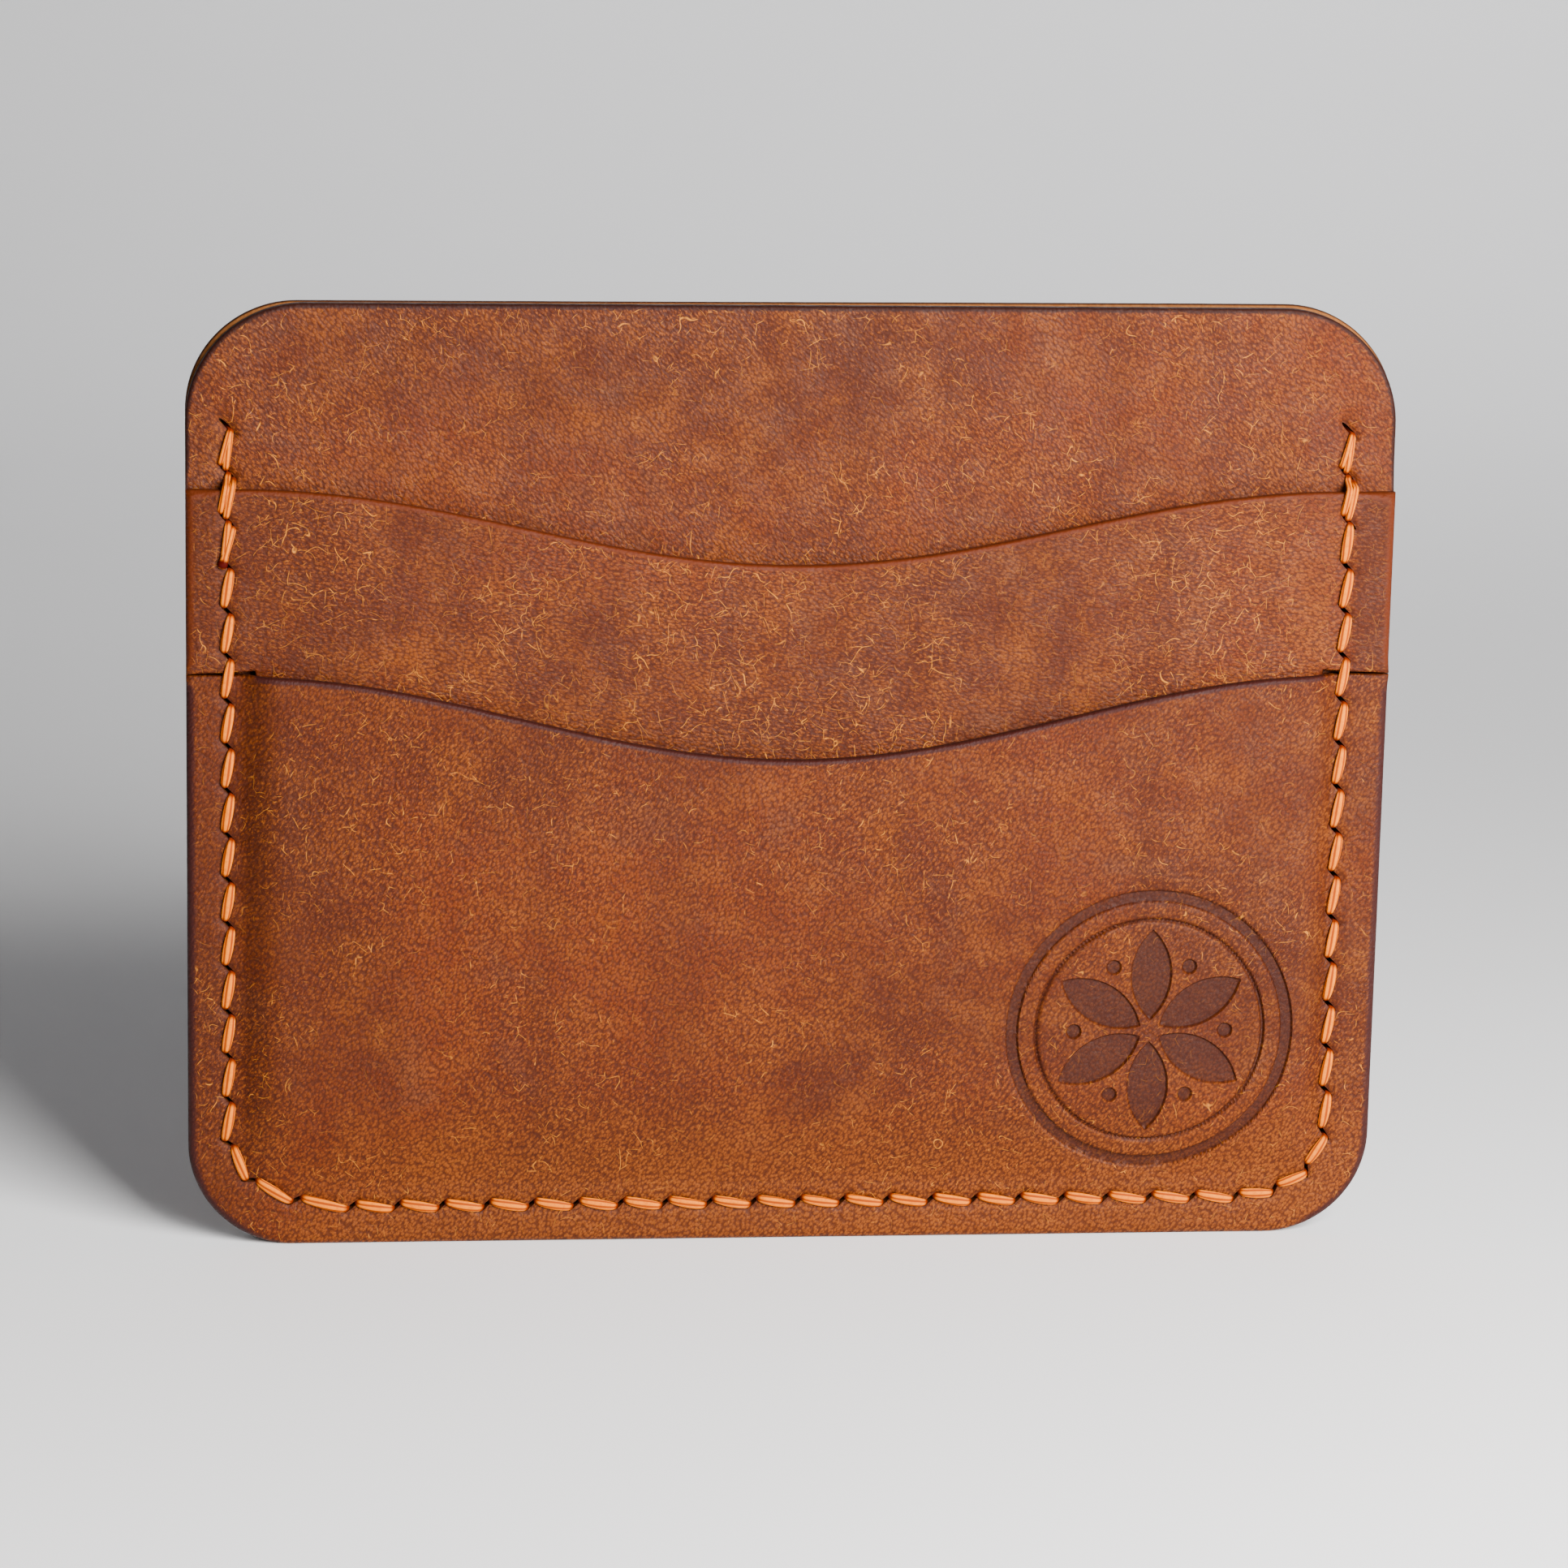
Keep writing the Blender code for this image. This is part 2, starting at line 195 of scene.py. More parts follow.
def outward_normals(loop: np.ndarray) -> np.ndarray:
    """Unit normals of a counter-clockwise loop, from the direction between the neighbours."""
    along = np.roll(loop, -1, 0) - np.roll(loop, 1, 0)
    normal = np.column_stack([along[:, 1], -along[:, 0]])
    return normal / np.linalg.norm(normal, axis=1, keepdims=True)


def even_grid(low: Sequence[float], high: Sequence[float], spacing: float) -> np.ndarray:
    """Points of a grid of equilateral triangles: every second row is shifted by half a step."""
    xs = np.arange(low[0], high[0], spacing)
    zs = np.arange(low[1], high[1], spacing * math.sqrt(3.0) / 2.0)
    grid_x, grid_z = np.meshgrid(xs, zs)
    grid_x[1::2] += spacing / 2.0
    return np.column_stack([grid_x.ravel(), grid_z.ravel()])


def mesh_object(name: str, vertices: np.ndarray, faces: list[list[int]],
                finish: bpy.types.Material) -> bpy.types.Object:
    """Make a smooth-shaded mesh object at the origin.

    Args:
        name: the piece's name.
        vertices: corners in millimetres, shape (n, 3).
        faces: lists of corner numbers.
        finish: the piece's material.

    Returns:
        The new object, linked to the scene.
    """
    mesh = bpy.data.meshes.new(name)
    mesh.from_pydata((vertices * MM).tolist(), [], faces)
    mesh.materials.append(finish)
    mesh.shade_smooth()
    piece = bpy.data.objects.new(name, mesh)
    bpy.context.scene.collection.objects.link(piece)
    return piece


def store(piece: bpy.types.Object, name: str, values: np.ndarray) -> None:
    """Write one number for each corner of a piece's mesh, for its material to read."""
    layer = piece.data.attributes.new(name, "FLOAT", "POINT")
    layer.data.foreach_set("value", np.ascontiguousarray(values, dtype=np.float32))


# ---------------------------------------------------------------------------------------------
# Cutting pattern and seams
# ---------------------------------------------------------------------------------------------

@dataclass(frozen=True)
class Pattern:
    """Sizes of the cut pieces and the places of the layers, from the frame where it has them."""

    half_width: float
    height: float
    leather: float
    panel_y: float
    pocket_y: float
    back_y: float
    upper_mouth: float
    lower_mouth: float
    stem_foot: float
    upper_lift: float
    lower_lift: float
    top_radius: float = 10.0
    back_top_radius: float = 9.2
    bottom_radius: float = 9.0
    curve_half: float = 46.0
    upper_dip: float = 6.3
    lower_dip: float = 7.0
    stem_half: float = 45.5
    stem_waist: float = 43.6
    butt_gap: float = 0.09
    lift_edge: float = 45.9
    pocket_edge: float = 46.7
    hair: float = 0.085

    @classmethod
    def from_frame(cls) -> "Pattern":
        """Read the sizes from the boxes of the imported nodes."""
        boxes = {name: [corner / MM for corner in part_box(name)]
                 for name in ("front_panel", "back_panel", "upper_pocket", "lower_pocket")}
        low, high = boxes["front_panel"]
        upper_low, upper_high = boxes["upper_pocket"]
        lower_low, lower_high = boxes["lower_pocket"]
        leather = high.y - low.y
        pocket_y = lower_high.y - leather
        return cls(
            half_width=high.x, height=high.z, leather=leather, panel_y=low.y, pocket_y=pocket_y,
            back_y=boxes["back_panel"][0].y, upper_mouth=upper_high.z, lower_mouth=lower_high.z,
            stem_foot=upper_low.z, upper_lift=pocket_y - upper_low.y, lower_lift=pocket_y - lower_low.y,
        )

    def mouth(self, x: np.ndarray, level: float, dip: float) -> np.ndarray:
        """Height of a pocket mouth: level - dip * (1 + cos(pi x / half)) / 2 between the sides."""
        inside = np.clip(np.abs(x) / self.curve_half, 0.0, 1.0)
        return level - dip * (1.0 + np.cos(np.pi * inside)) / 2.0


@dataclass(frozen=True)
class Seam:
    """A row of slanted slits with a thread sewn through them.

    Attributes:
        holes: centres of the slits in the XZ plane, shape (n, 2).
        slit_half: half the length of a slit.
        slit_side: half the width of a slit.
    """

    holes: np.ndarray
    slit_half: float = 0.92
    slit_side: float = 0.18

    def along(self) -> np.ndarray:
        """Unit direction of the seam at each slit, from the slit before it to the one after."""
        padded = np.vstack([self.holes[:1], self.holes, self.holes[-1:]])
        step = padded[2:] - padded[:-2]
        return step / np.linalg.norm(step, axis=1, keepdims=True)

    def slants(self) -> np.ndarray:
        """Unit direction of each slit: the seam's direction turned by 45 degrees."""
        t = self.along()
        return np.column_stack([t[:, 0] - t[:, 1], t[:, 0] + t[:, 1]]) / math.sqrt(2.0)

    def only(self, keep: Callable[[np.ndarray], np.ndarray]) -> np.ndarray:
        """Numbers of the slits whose height passes a test."""
        return np.flatnonzero(keep(self.holes[:, 1]))

    def slit_rings(self, chosen: np.ndarray, grow: Sequence[float], count: int = 14) -> np.ndarray:
        """Rings round the chosen slits.

        A ring is the slit's ellipse grown by g: centre + (a + g) cos(t) * slant + (b + g) sin(t) *
        cross, with a and b the slit's half length and half width.

        Args:
            chosen: numbers of the slits.
            grow: how far each ring stands off its slit.
            count: points on a ring.

        Returns:
            Points, shape (slits, rings, count, 2).
        """
        angle = np.arange(count) * 2.0 * np.pi / count
        slant = self.slants()[chosen][:, None, None, :]
        cross = np.stack([-slant[..., 1], slant[..., 0]], -1)
        out = np.array(grow)[None, :, None, None]
        cosine, sine = np.cos(angle)[None, None, :, None], np.sin(angle)[None, None, :, None]
        local = (self.slit_half + out) * cosine * slant + (self.slit_side + out) * sine * cross
        return self.holes[chosen][:, None, None, :] + local

    def slit_distance(self, points: np.ndarray, chosen: np.ndarray) -> np.ndarray:
        """Distance from each point to the nearest chosen slit, taken as a rounded bar."""
        core = self.slants()[chosen] * (self.slit_half - self.slit_side)
        middle = self.holes[chosen]
        return segment_distance(points, middle - core, middle + core) - self.slit_side

    def in_slit(self, points: np.ndarray, chosen: np.ndarray, inner: float = 0.985) -> np.ndarray:
        """Test points against the ellipses of the chosen slits: (u / a)^2 + (v / b)^2 < inner.

        Args:
            points: points in the XZ plane, shape (n, 2).
            chosen: numbers of the slits.
            inner: the bound, just under 1 to leave out rounding errors.

        Returns:
            True for each point inside a slit.
        """
        slant = self.slants()[chosen]
        offset = points[:, None, :] - self.holes[chosen][None]
        along = (offset * slant[None]).sum(2) / self.slit_half
        across = offset[..., 1] * slant[None, :, 0] - offset[..., 0] * slant[None, :, 1]
        return ((along ** 2 + (across / self.slit_side) ** 2) < inner).any(1)

    def line_distance(self, points: np.ndarray) -> np.ndarray:
        """Distance from each point to the line through all slits."""
        return segment_distance(points, self.holes[:-1], self.holes[1:])

    def beside(self, offsets: Sequence[float], step: float) -> np.ndarray:
        """Points on lines that run beside the seam at the given offsets."""
        runs = np.diff(self.holes, axis=0)
        length = np.linalg.norm(runs, axis=1)
        place = np.concatenate([[0.0], np.cumsum(length)])
        spots = np.arange(0.0, place[-1], step)
        centre = np.column_stack([np.interp(spots, place, self.holes[:, k]) for k in (0, 1)])
        tangent = np.gradient(centre, axis=0)
        tangent /= np.linalg.norm(tangent, axis=1, keepdims=True)
        normal = np.column_stack([-tangent[:, 1], tangent[:, 0]])
        return np.concatenate([centre + normal * offset for offset in offsets])


@dataclass(frozen=True)
class LongSeamPlan:
    """Driving sizes of the seam round three sides."""

    pitch: float = 3.85
    side_half: float = 47.5
    side_shift: float = -0.3
    side_top: float = 70.7
    side_holes: int = 17
    row_height: float = 3.4
    row_shift: float = 1.2
    row_holes: int = 21
    corner_angles: Pair = (35.0, 63.0)
    left_return: int = 3
    right_return: int = 2

    def column(self, side: float) -> np.ndarray:
        """Slits of one side, from the top down."""
        z = self.side_top - self.pitch * np.arange(self.side_holes)
        return np.column_stack([np.full_like(z, side * self.side_half + self.side_shift), z])

    def row(self) -> np.ndarray:
        """Slits of the bottom row, from left to right."""
        x = self.row_shift + self.pitch * (np.arange(self.row_holes) - (self.row_holes - 1) / 2.0)
        return np.column_stack([x, np.full_like(x, self.row_height)])

    def corner(self, side: float, row_end: np.ndarray) -> np.ndarray:
        """Slits on the quarter ellipse between a side and the end of the bottom row."""
        foot = self.column(side)[-1]
        angle = np.radians(self.corner_angles)
        x = row_end[0] + side * abs(foot[0] - row_end[0]) * np.cos(angle)
        return np.column_stack([x, foot[1] - (foot[1] - row_end[1]) * np.sin(angle)])

    def seam(self) -> Seam:
        """The whole seam, down the left side, along the bottom and up the right side."""
        row = self.row()
        left = np.vstack([self.column(-1.0), self.corner(-1.0, row[0])])
        right = np.vstack([self.column(1.0), self.corner(1.0, row[-1])])
        return Seam(np.vstack([left, row, right[::-1]]))

    def order(self) -> list[int]:
        """Slits in the order of the thread, sewn back over the last ones at each end."""
        last = 2 * self.side_holes + 2 * len(self.corner_angles) + self.row_holes - 1
        out = list(range(self.left_return, 0, -1)) + list(range(0, last))
        turn = list(range(last, last - self.right_return - 1, -1))
        turn += list(range(last - self.right_return + 1, last + 1))
        return out + turn + list(range(last - 1, -1, -1)) + list(range(1, self.left_return + 1))


@dataclass(frozen=True)
class FootSeamPlan:
    """Driving sizes of the hidden seam across the foot of the upper pocket."""

    pitch: float = 3.85
    holes: int = 23
    height: float = 19.0

    def seam(self) -> Seam:
        """The whole seam, from left to right."""
        x = self.pitch * (np.arange(self.holes) - (self.holes - 1) / 2.0)
        return Seam(np.column_stack([x, np.full_like(x, self.height)]))

    def order(self) -> list[int]:
        """Slits in the order of the thread: out along the row and back again."""
        return list(range(self.holes)) + list(range(self.holes - 2, -1, -1))


# ---------------------------------------------------------------------------------------------
# Maker's mark
# ---------------------------------------------------------------------------------------------

@dataclass(frozen=True)
class MakersMark:
    """A plain round mark: a band, a thin inner ring and a rosette of six petals.

    The relief comes from a signed distance: below 0 inside the pressed shapes.
    """

    centre: Pair = (31.2, 18.8)
    radius: float = 12.5
    band: float = 1.0
    ring_radius: float = 9.9
    ring_width: float = 0.3
    petals: int = 6
    petal_start: float = 1.0
    petal_end: float = 9.0
    petal_half: float = 1.75
    seed_radius: float = 6.6
    seed_size: float = 0.62
    depth: float = 0.26
    bevel: float = 0.16
    fill_spacing: float = 0.55
    fill_gap: float = 0.3
    ring_density: float = 18.0
    petal_steps: int = 46
    seed_steps: int = 18
    petal_lines: tuple[float, ...] = (-0.36, -0.08, 0.0, 0.08, 0.26)
    seed_lines: tuple[float, ...] = (-0.32, -0.08, 0.0, 0.08, 0.26)

    def polar(self, points: np.ndarray) -> tuple[np.ndarray, np.ndarray]:
        """Distance from the mark's centre, and angle."""
        x, z = points[:, 0] - self.centre[0], points[:, 1] - self.centre[1]
        return np.hypot(x, z), np.arctan2(z, x)

    def band_radius(self) -> float:
        """Radius of the band's middle line."""
        return self.radius - self.band / 2.0

    def petal_frame(self, points: np.ndarray) -> tuple[np.ndarray, np.ndarray]:
        """Place of each point along and across the petal whose sector it lies in."""
        radius, angle = self.polar(points)
        sector = 2.0 * np.pi / self.petals
        turned = (angle - np.pi / 2.0 + sector / 2.0) % sector - sector / 2.0
        middle = (self.petal_start + self.petal_end) / 2.0
        return radius * np.cos(turned) - middle, radius * np.sin(turned)

    def petal_circle(self) -> Pair:
        """Radius of a petal's two sides, and how far their centres lie across it."""
        reach = (self.petal_end - self.petal_start) / 2.0
        radius = (reach ** 2 + self.petal_half ** 2) / (2.0 * self.petal_half)
        return radius, radius - self.petal_half

    def signed_distance(self, points: np.ndarray) -> np.ndarray:
        """Distance to the edge of the pressed shapes, negative inside.

        Bands are | r - r0 | - w / 2.  A petal is the lens of two circles, hypot(|across| + c,
        along) - R.  A seed is a disc between two petals.

        Args:
            points: points in the XZ plane, shape (n, 2).

        Returns:
            Signed distances, shape (n,).
        """
        radius, angle = self.polar(points)
        outer = np.abs(radius - self.band_radius()) - self.band / 2.0
        inner = np.abs(radius - self.ring_radius) - self.ring_width / 2.0
        along, across = self.petal_frame(points)
        side, shift = self.petal_circle()
        petal = np.hypot(np.abs(across) + shift, along) - side
        sector = 2.0 * np.pi / self.petals
        between = (angle - np.pi / 2.0) % sector - sector / 2.0
        seed = np.hypot(radius * np.cos(between) - self.seed_radius, radius * np.sin(between))
        return np.minimum.reduce([outer, inner, petal, seed - self.seed_size])

    def pressed(self, points: np.ndarray) -> np.ndarray:
        """How far the leather is pressed in, from 0 to 1."""
        return ease(0.5 - self.signed_distance(points) / self.bevel)

    def rings(self) -> np.ndarray:
        """Mesh points on circles close to the edges of the bands."""
        half, edge = self.bevel / 2.0, []
        for middle, width in ((self.band_radius(), self.band), (self.ring_radius, self.ring_width)):
            edge += [middle + side * (width / 2.0 + shift) for side in (-1.0, 1.0)
                     for shift in (-half, 0.0, half, 2.6 * half)]
        edge.append(self.band_radius())
        found = [radius * circle(int(radius * self.ring_density)) for radius in edge]
        return np.concatenate(found) + self.centre

    def petal_points(self) -> np.ndarray:
        """Mesh points on lines close to the edges of the petals and round the seeds."""
        side, shift = self.petal_circle()
        middle = (self.petal_start + self.petal_end) / 2.0
        tip = math.asin(min(1.0, (self.petal_end - self.petal_start) / 2.0 / side))
        sweep = np.linspace(-tip, tip, self.petal_steps)
        found = []
        for number in range(self.petals):
            turn = np.pi / 2.0 + number * 2.0 * np.pi / self.petals
            for offset in self.petal_lines:
                along = (side + offset) * np.sin(sweep) + middle
                across = (side + offset) * np.cos(sweep) - shift
                for mirror in (-1.0, 1.0):
                    x = along * math.cos(turn) - mirror * across * math.sin(turn)
                    z = along * math.sin(turn) + mirror * across * math.cos(turn)
                    found.append(np.column_stack([x, z]))
            seed_turn = turn + np.pi / self.petals
            seed = self.seed_radius * np.array([math.cos(seed_turn), math.sin(seed_turn)])
            found += [seed + (self.seed_size + offset) * circle(self.seed_steps)
                      for offset in self.seed_lines]
        return np.concatenate(found) + self.centre

    def fill(self) -> np.ndarray:
        """Even mesh points inside the mark, away from its edges."""
        centre = np.array(self.centre)
        grid = even_grid(centre - self.radius, centre + self.radius, self.fill_spacing)
        inside = self.polar(grid)[0] < self.radius - self.fill_gap
        return grid[inside & (np.abs(self.signed_distance(grid)) > self.fill_gap)]

    def points(self) -> np.ndarray:
        """All mesh points that the mark needs."""
        return np.concatenate([self.rings(), self.petal_points(), self.fill()])


# ---------------------------------------------------------------------------------------------
# Leather sheets
# ---------------------------------------------------------------------------------------------

@dataclass(frozen=True)
class Net:
    """How finely the net of a sheet is laid, and how far its parts keep clear of each other."""

    spacing: float = 1.3
    inset_rings: tuple[float, ...] = (0.03, 0.10, 0.20, 0.33, 0.50, 0.72, 1.05)
    ring_slack: float = 0.012
    slit_rings: tuple[float, ...] = (0.09, 0.22, 0.45)
    seam_lines: tuple[float, ...] = (-1.7, -1.15, -0.75, -0.4, 0.0, 0.4, 0.75, 1.15, 1.7)
    seam_step: float = 0.6
    seam_zone: float = 2.1
    grid_to_slit: float = 0.75
    line_to_slit: float = 0.62
    grid_to_ring: float = 0.25


@dataclass(frozen=True)
class Groove:
    """Dent under the stitches: Gaussians of the distances to their line and to their slits."""

    depth: float = 0.10
    width: float = 0.55
    dimple: float = 0.10
    dimple_width: float = 0.24
    swell: float = 0.03
    swell_place: float = 1.15
    swell_width: float = 0.45

    def dent(self, line_gap: np.ndarray, slit_gap: np.ndarray) -> np.ndarray:
        """Depth of groove and dimples, less the low swell that stands beside the groove."""
        dimples = self.dimple * bell(np.maximum(slit_gap, 0.0), self.dimple_width)
        swell = self.swell * bell(line_gap - self.swell_place, self.swell_width)
        return self.depth * bell(line_gap, self.width) + dimples - swell


@dataclass
class LeatherSheet:
    """One cut piece of leather with two faces, slits and rounded edges.

    The sheet is a height field on a net of points: rings that follow the outline, rings round
    every slit, lines beside the seam, and an even grid in between, joined by Delaunay triangles.
    Each face gives Y as a function of (x, z).  Walls join the two faces at every open edge.
    """

    name: str
    node: str
    pattern: Pattern
    seams: list[tuple[Seam, np.ndarray]]
    finish: bpy.types.Material
    outline_step: float = 0.55
    net_plan: Net = Net()
    groove: Groove = Groove()
    grain_face: Face = Face.FRONT
    polish_reach: float = 0.22
    polish_round: float = 0.9
    flesh_rim: float = 0.15
    # Width of the painted shade round each slit.
    slit_shade_width: float = 0.16
    edge_fullness: float = 0.85
    sway_depth: float = 0.03
    border_inset: float = 1.0
    border_run: float = 3.0
    sharp_angle: float = 52.0
    piece: bpy.types.Object = field(init=False)

    def outline(self) -> np.ndarray:
        """Counter-clockwise outline of the cut piece."""
        raise NotImplementedError

    def front_y(self, points: np.ndarray) -> np.ndarray:
        """Y of the front face."""
        raise NotImplementedError

    def back_y(self, points: np.ndarray) -> np.ndarray:
        """Y of the back face."""
        raise NotImplementedError

    def rounding(self, points: np.ndarray, face: Face) -> np.ndarray:
        """Radius of the rounded edge near each point."""
        return np.full(len(points), 0.3)

    def extra_points(self) -> np.ndarray:
        """Mesh points for a detail of this piece alone."""
        return np.empty((0, 2))

    def extra_zone(self, points: np.ndarray) -> np.ndarray:
        """True where the even grid makes way for the piece's own detail."""
        return np.zeros(len(points), bool)

    def tone(self, points: np.ndarray) -> np.ndarray:
        """Extra darkening of the grain face (oil, painted shade), up to 1, and painted light, down to -1."""
        return np.zeros(len(points))

    def polish(self, points: np.ndarray) -> np.ndarray:
        """Share of the burnishing that each edge gets."""
        return np.ones(len(points))

    def pressed(self, points: np.ndarray) -> np.ndarray:
        """How far a mark presses into the front, from 0 to 1."""
        return np.zeros(len(points))

    def mark_depth(self) -> float:
        """Depth of a pressed mark."""
        return 0.0

    def net_points(self, outline: np.ndarray) -> np.ndarray:
        """Free points of the net, with none crowding the rings and lines.

        Args:
            outline: the piece's outline.

        Returns:
            Points inside the outline, shape (n, 2).
        """
        plan, closed, normal = self.net_plan, np.roll(outline, -1, 0), outward_normals(outline)
        rings = []
        for inset in plan.inset_rings:
            ring = outline - normal * inset
            rings.append(ring[segment_distance(ring, outline, closed) > inset - plan.ring_slack])
        grid = even_grid(outline.min(0), outline.max(0), plan.spacing)
        grid = grid[~self.extra_zone(grid)]
        parts = [grid, self.extra_points()]
        for seam, chosen in self.seams:
            parts = [part[seam.slit_distance(part, chosen) > plan.grid_to_slit] if len(part) else part
                     for part in parts]
            parts[0] = parts[0][seam.line_distance(parts[0]) > plan.seam_zone]
            lines = seam.beside(plan.seam_lines, plan.seam_step)
            parts.append(lines[seam.slit_distance(lines, chosen) > plan.line_to_slit])
            parts.append(seam.slit_rings(chosen, plan.slit_rings).reshape(-1, 2))
        free = np.concatenate(parts)
        free = free[segment_distance(free, outline, closed) > plan.inset_rings[-1] + plan.grid_to_ring]
        free = np.concatenate([free] + rings)
        return free[inside_loop(free, outline)]

    def net(self) -> tuple[np.ndarray, np.ndarray, np.ndarray]:
        """Triangulate the piece with its slits left open.

        Returns:
            Points (n, 2), triangles (m, 3), and the outline.
        """
        outline = self.outline()
        loops = [outline]
        for seam, chosen in self.seams:
            loops += list(seam.slit_rings(chosen, (0.0,))[:, 0])
        sizes = [len(loop) for loop in loops]
        firsts = np.concatenate([[0], np.cumsum(sizes)])
        edges = [np.column_stack([first + np.arange(size), first + (np.arange(size) + 1) % size])
                 for first, size in zip(firsts, sizes)]
        points = np.concatenate(loops + [self.net_points(outline)]).tolist()
        joined = delaunay_2d_cdt(points, np.concatenate(edges).tolist(), [], 0, 1e-6, False)
        spots, triangles = np.array([tuple(spot) for spot in joined[0]]), np.array(joined[2])
        middle = spots[triangles].mean(1)
        keep = inside_loop(middle, outline)
        for seam, chosen in self.seams:
            keep &= ~seam.in_slit(middle, chosen)
        triangles = triangles[keep]
        used, numbers = np.unique(triangles, return_inverse=True)
        return spots[used], numbers.reshape(-1, 3), outline

    def round_off(self, edge: np.ndarray, radius: np.ndarray) -> np.ndarray:
        """Depth of a rounded edge: f r (1 - sqrt(1 - (1 - d / r)^2)) for d under r, f the fullness."""
        share = 1.0 - np.clip(edge / radius, 0.0, 1.0)
        return self.edge_fullness * radius * (1.0 - np.sqrt(np.clip(1.0 - share ** 2, 0.0, 1.0)))

    def sewn_in(self, points: np.ndarray) -> np.ndarray:
        """Depth of the groove under the long seam's stitches and of the dimples round its slits."""
        seam, chosen = self.seams[0]
        pairs = chosen[:-1][np.diff(chosen) == 1]
        line_gap = segment_distance(points, seam.holes[pairs], seam.holes[pairs + 1])
        return self.groove.dent(line_gap, seam.slit_distance(points, chosen))

    def sway(self, points: np.ndarray, phase: float) -> np.ndarray:
        """Slight unevenness of a handled sheet: a sum of three slow sine waves."""
        x, z = points[:, 0], points[:, 1]
        wave = np.sin(x / 13.0 + phase) * np.cos(z / 17.0 - phase)
        wave = wave + 0.6 * np.sin(x / 7.1 - z / 9.3 + 2.0 * phase)
        return self.sway_depth * (wave + 0.5 * np.sin(z / 4.3 + x / 11.0 + 3.0 * phase))

    def border(self, points: np.ndarray) -> np.ndarray:
        """Nearness to the sewn border: 1 at the sides and the foot, 0 well inside them."""
        inset = np.minimum(self.pattern.half_width - np.abs(points[:, 0]), points[:, 1])
        return 1.0 - ease((inset - self.border_inset) / self.border_run)

    def build(self) -> bpy.types.Object:
        """Make the mesh and its shading values.

        Returns:
            The finished piece.
        """
        points, triangles, outline = self.net()
        edge = segment_distance(points, outline, np.roll(outline, -1, 0))
        front = self.front_y(points) + self.round_off(edge, self.rounding(points, Face.FRONT))
        back = self.back_y(points) - self.round_off(edge, self.rounding(points, Face.BACK))
        front += self.pressed(points) * self.mark_depth()
        count = len(points)
        vertices = np.concatenate([
            np.column_stack([points[:, 0], front, points[:, 1]]),
            np.column_stack([points[:, 0], back, points[:, 1]]),
        ])
        directed = np.concatenate([triangles[:, [0, 1]], triangles[:, [1, 2]], triangles[:, [2, 0]]])
        forward, reverse = directed @ [count, 1], directed @ [1, count]
        open_edges = directed[~np.isin(forward, reverse)]
        a, b = open_edges[:, 0], open_edges[:, 1]
        walls = np.column_stack([a, a + count, b + count, b])
        faces = triangles.tolist() + (triangles[:, ::-1] + count).tolist() + walls.tolist()
        self.piece = mesh_object(self.name, vertices, faces, self.finish)
        self.piece.data.set_sharp_from_angle(angle=math.radians(self.sharp_angle))
        self.dress(points, edge)
        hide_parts(self.node)
        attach(self.piece, "root")
        LOG.info("%s: %d corners, %d faces", self.name, len(vertices), len(faces))
        return self.piece

    def dress(self, points: np.ndarray, edge: np.ndarray) -> None:
        """Store what the leather's material reads at each corner.

        Args:
            points: the net's points.
            edge: their distances from the outline.
        """
        fleshy = np.zeros((2, len(points)))
        fleshy[1 if self.grain_face is Face.FRONT else 0] = ease(edge / self.flesh_rim)
        reach = [self.polish_reach + self.polish_round * self.rounding(points, face) for face in Face]
        burnish = [ease(1.25 - edge / width) * self.polish(points) for width in reach]
        # Painted shade round the slits, darkest at their edges, where the holes fall into shade.
        slit_shade = np.zeros(len(points))
        for seam, chosen in self.seams:
            gap = np.maximum(seam.slit_distance(points, chosen), 0.0)
            slit_shade = np.maximum(slit_shade, bell(gap, self.slit_shade_width))
        store(self.piece, "flesh", fleshy.ravel())
        store(self.piece, "burnish", np.concatenate(burnish))
        store(self.piece, "slit_shade", np.tile(slit_shade, 2))
        store(self.piece, "press", np.concatenate([self.pressed(points), np.zeros(len(points))]))
        store(self.piece, "tone", np.tile(self.tone(points), 2))

    def declare(self, *below: bpy.types.Object) -> None:
        """Work out the piece's outline, and nothing more."""
        loop = self.outline()


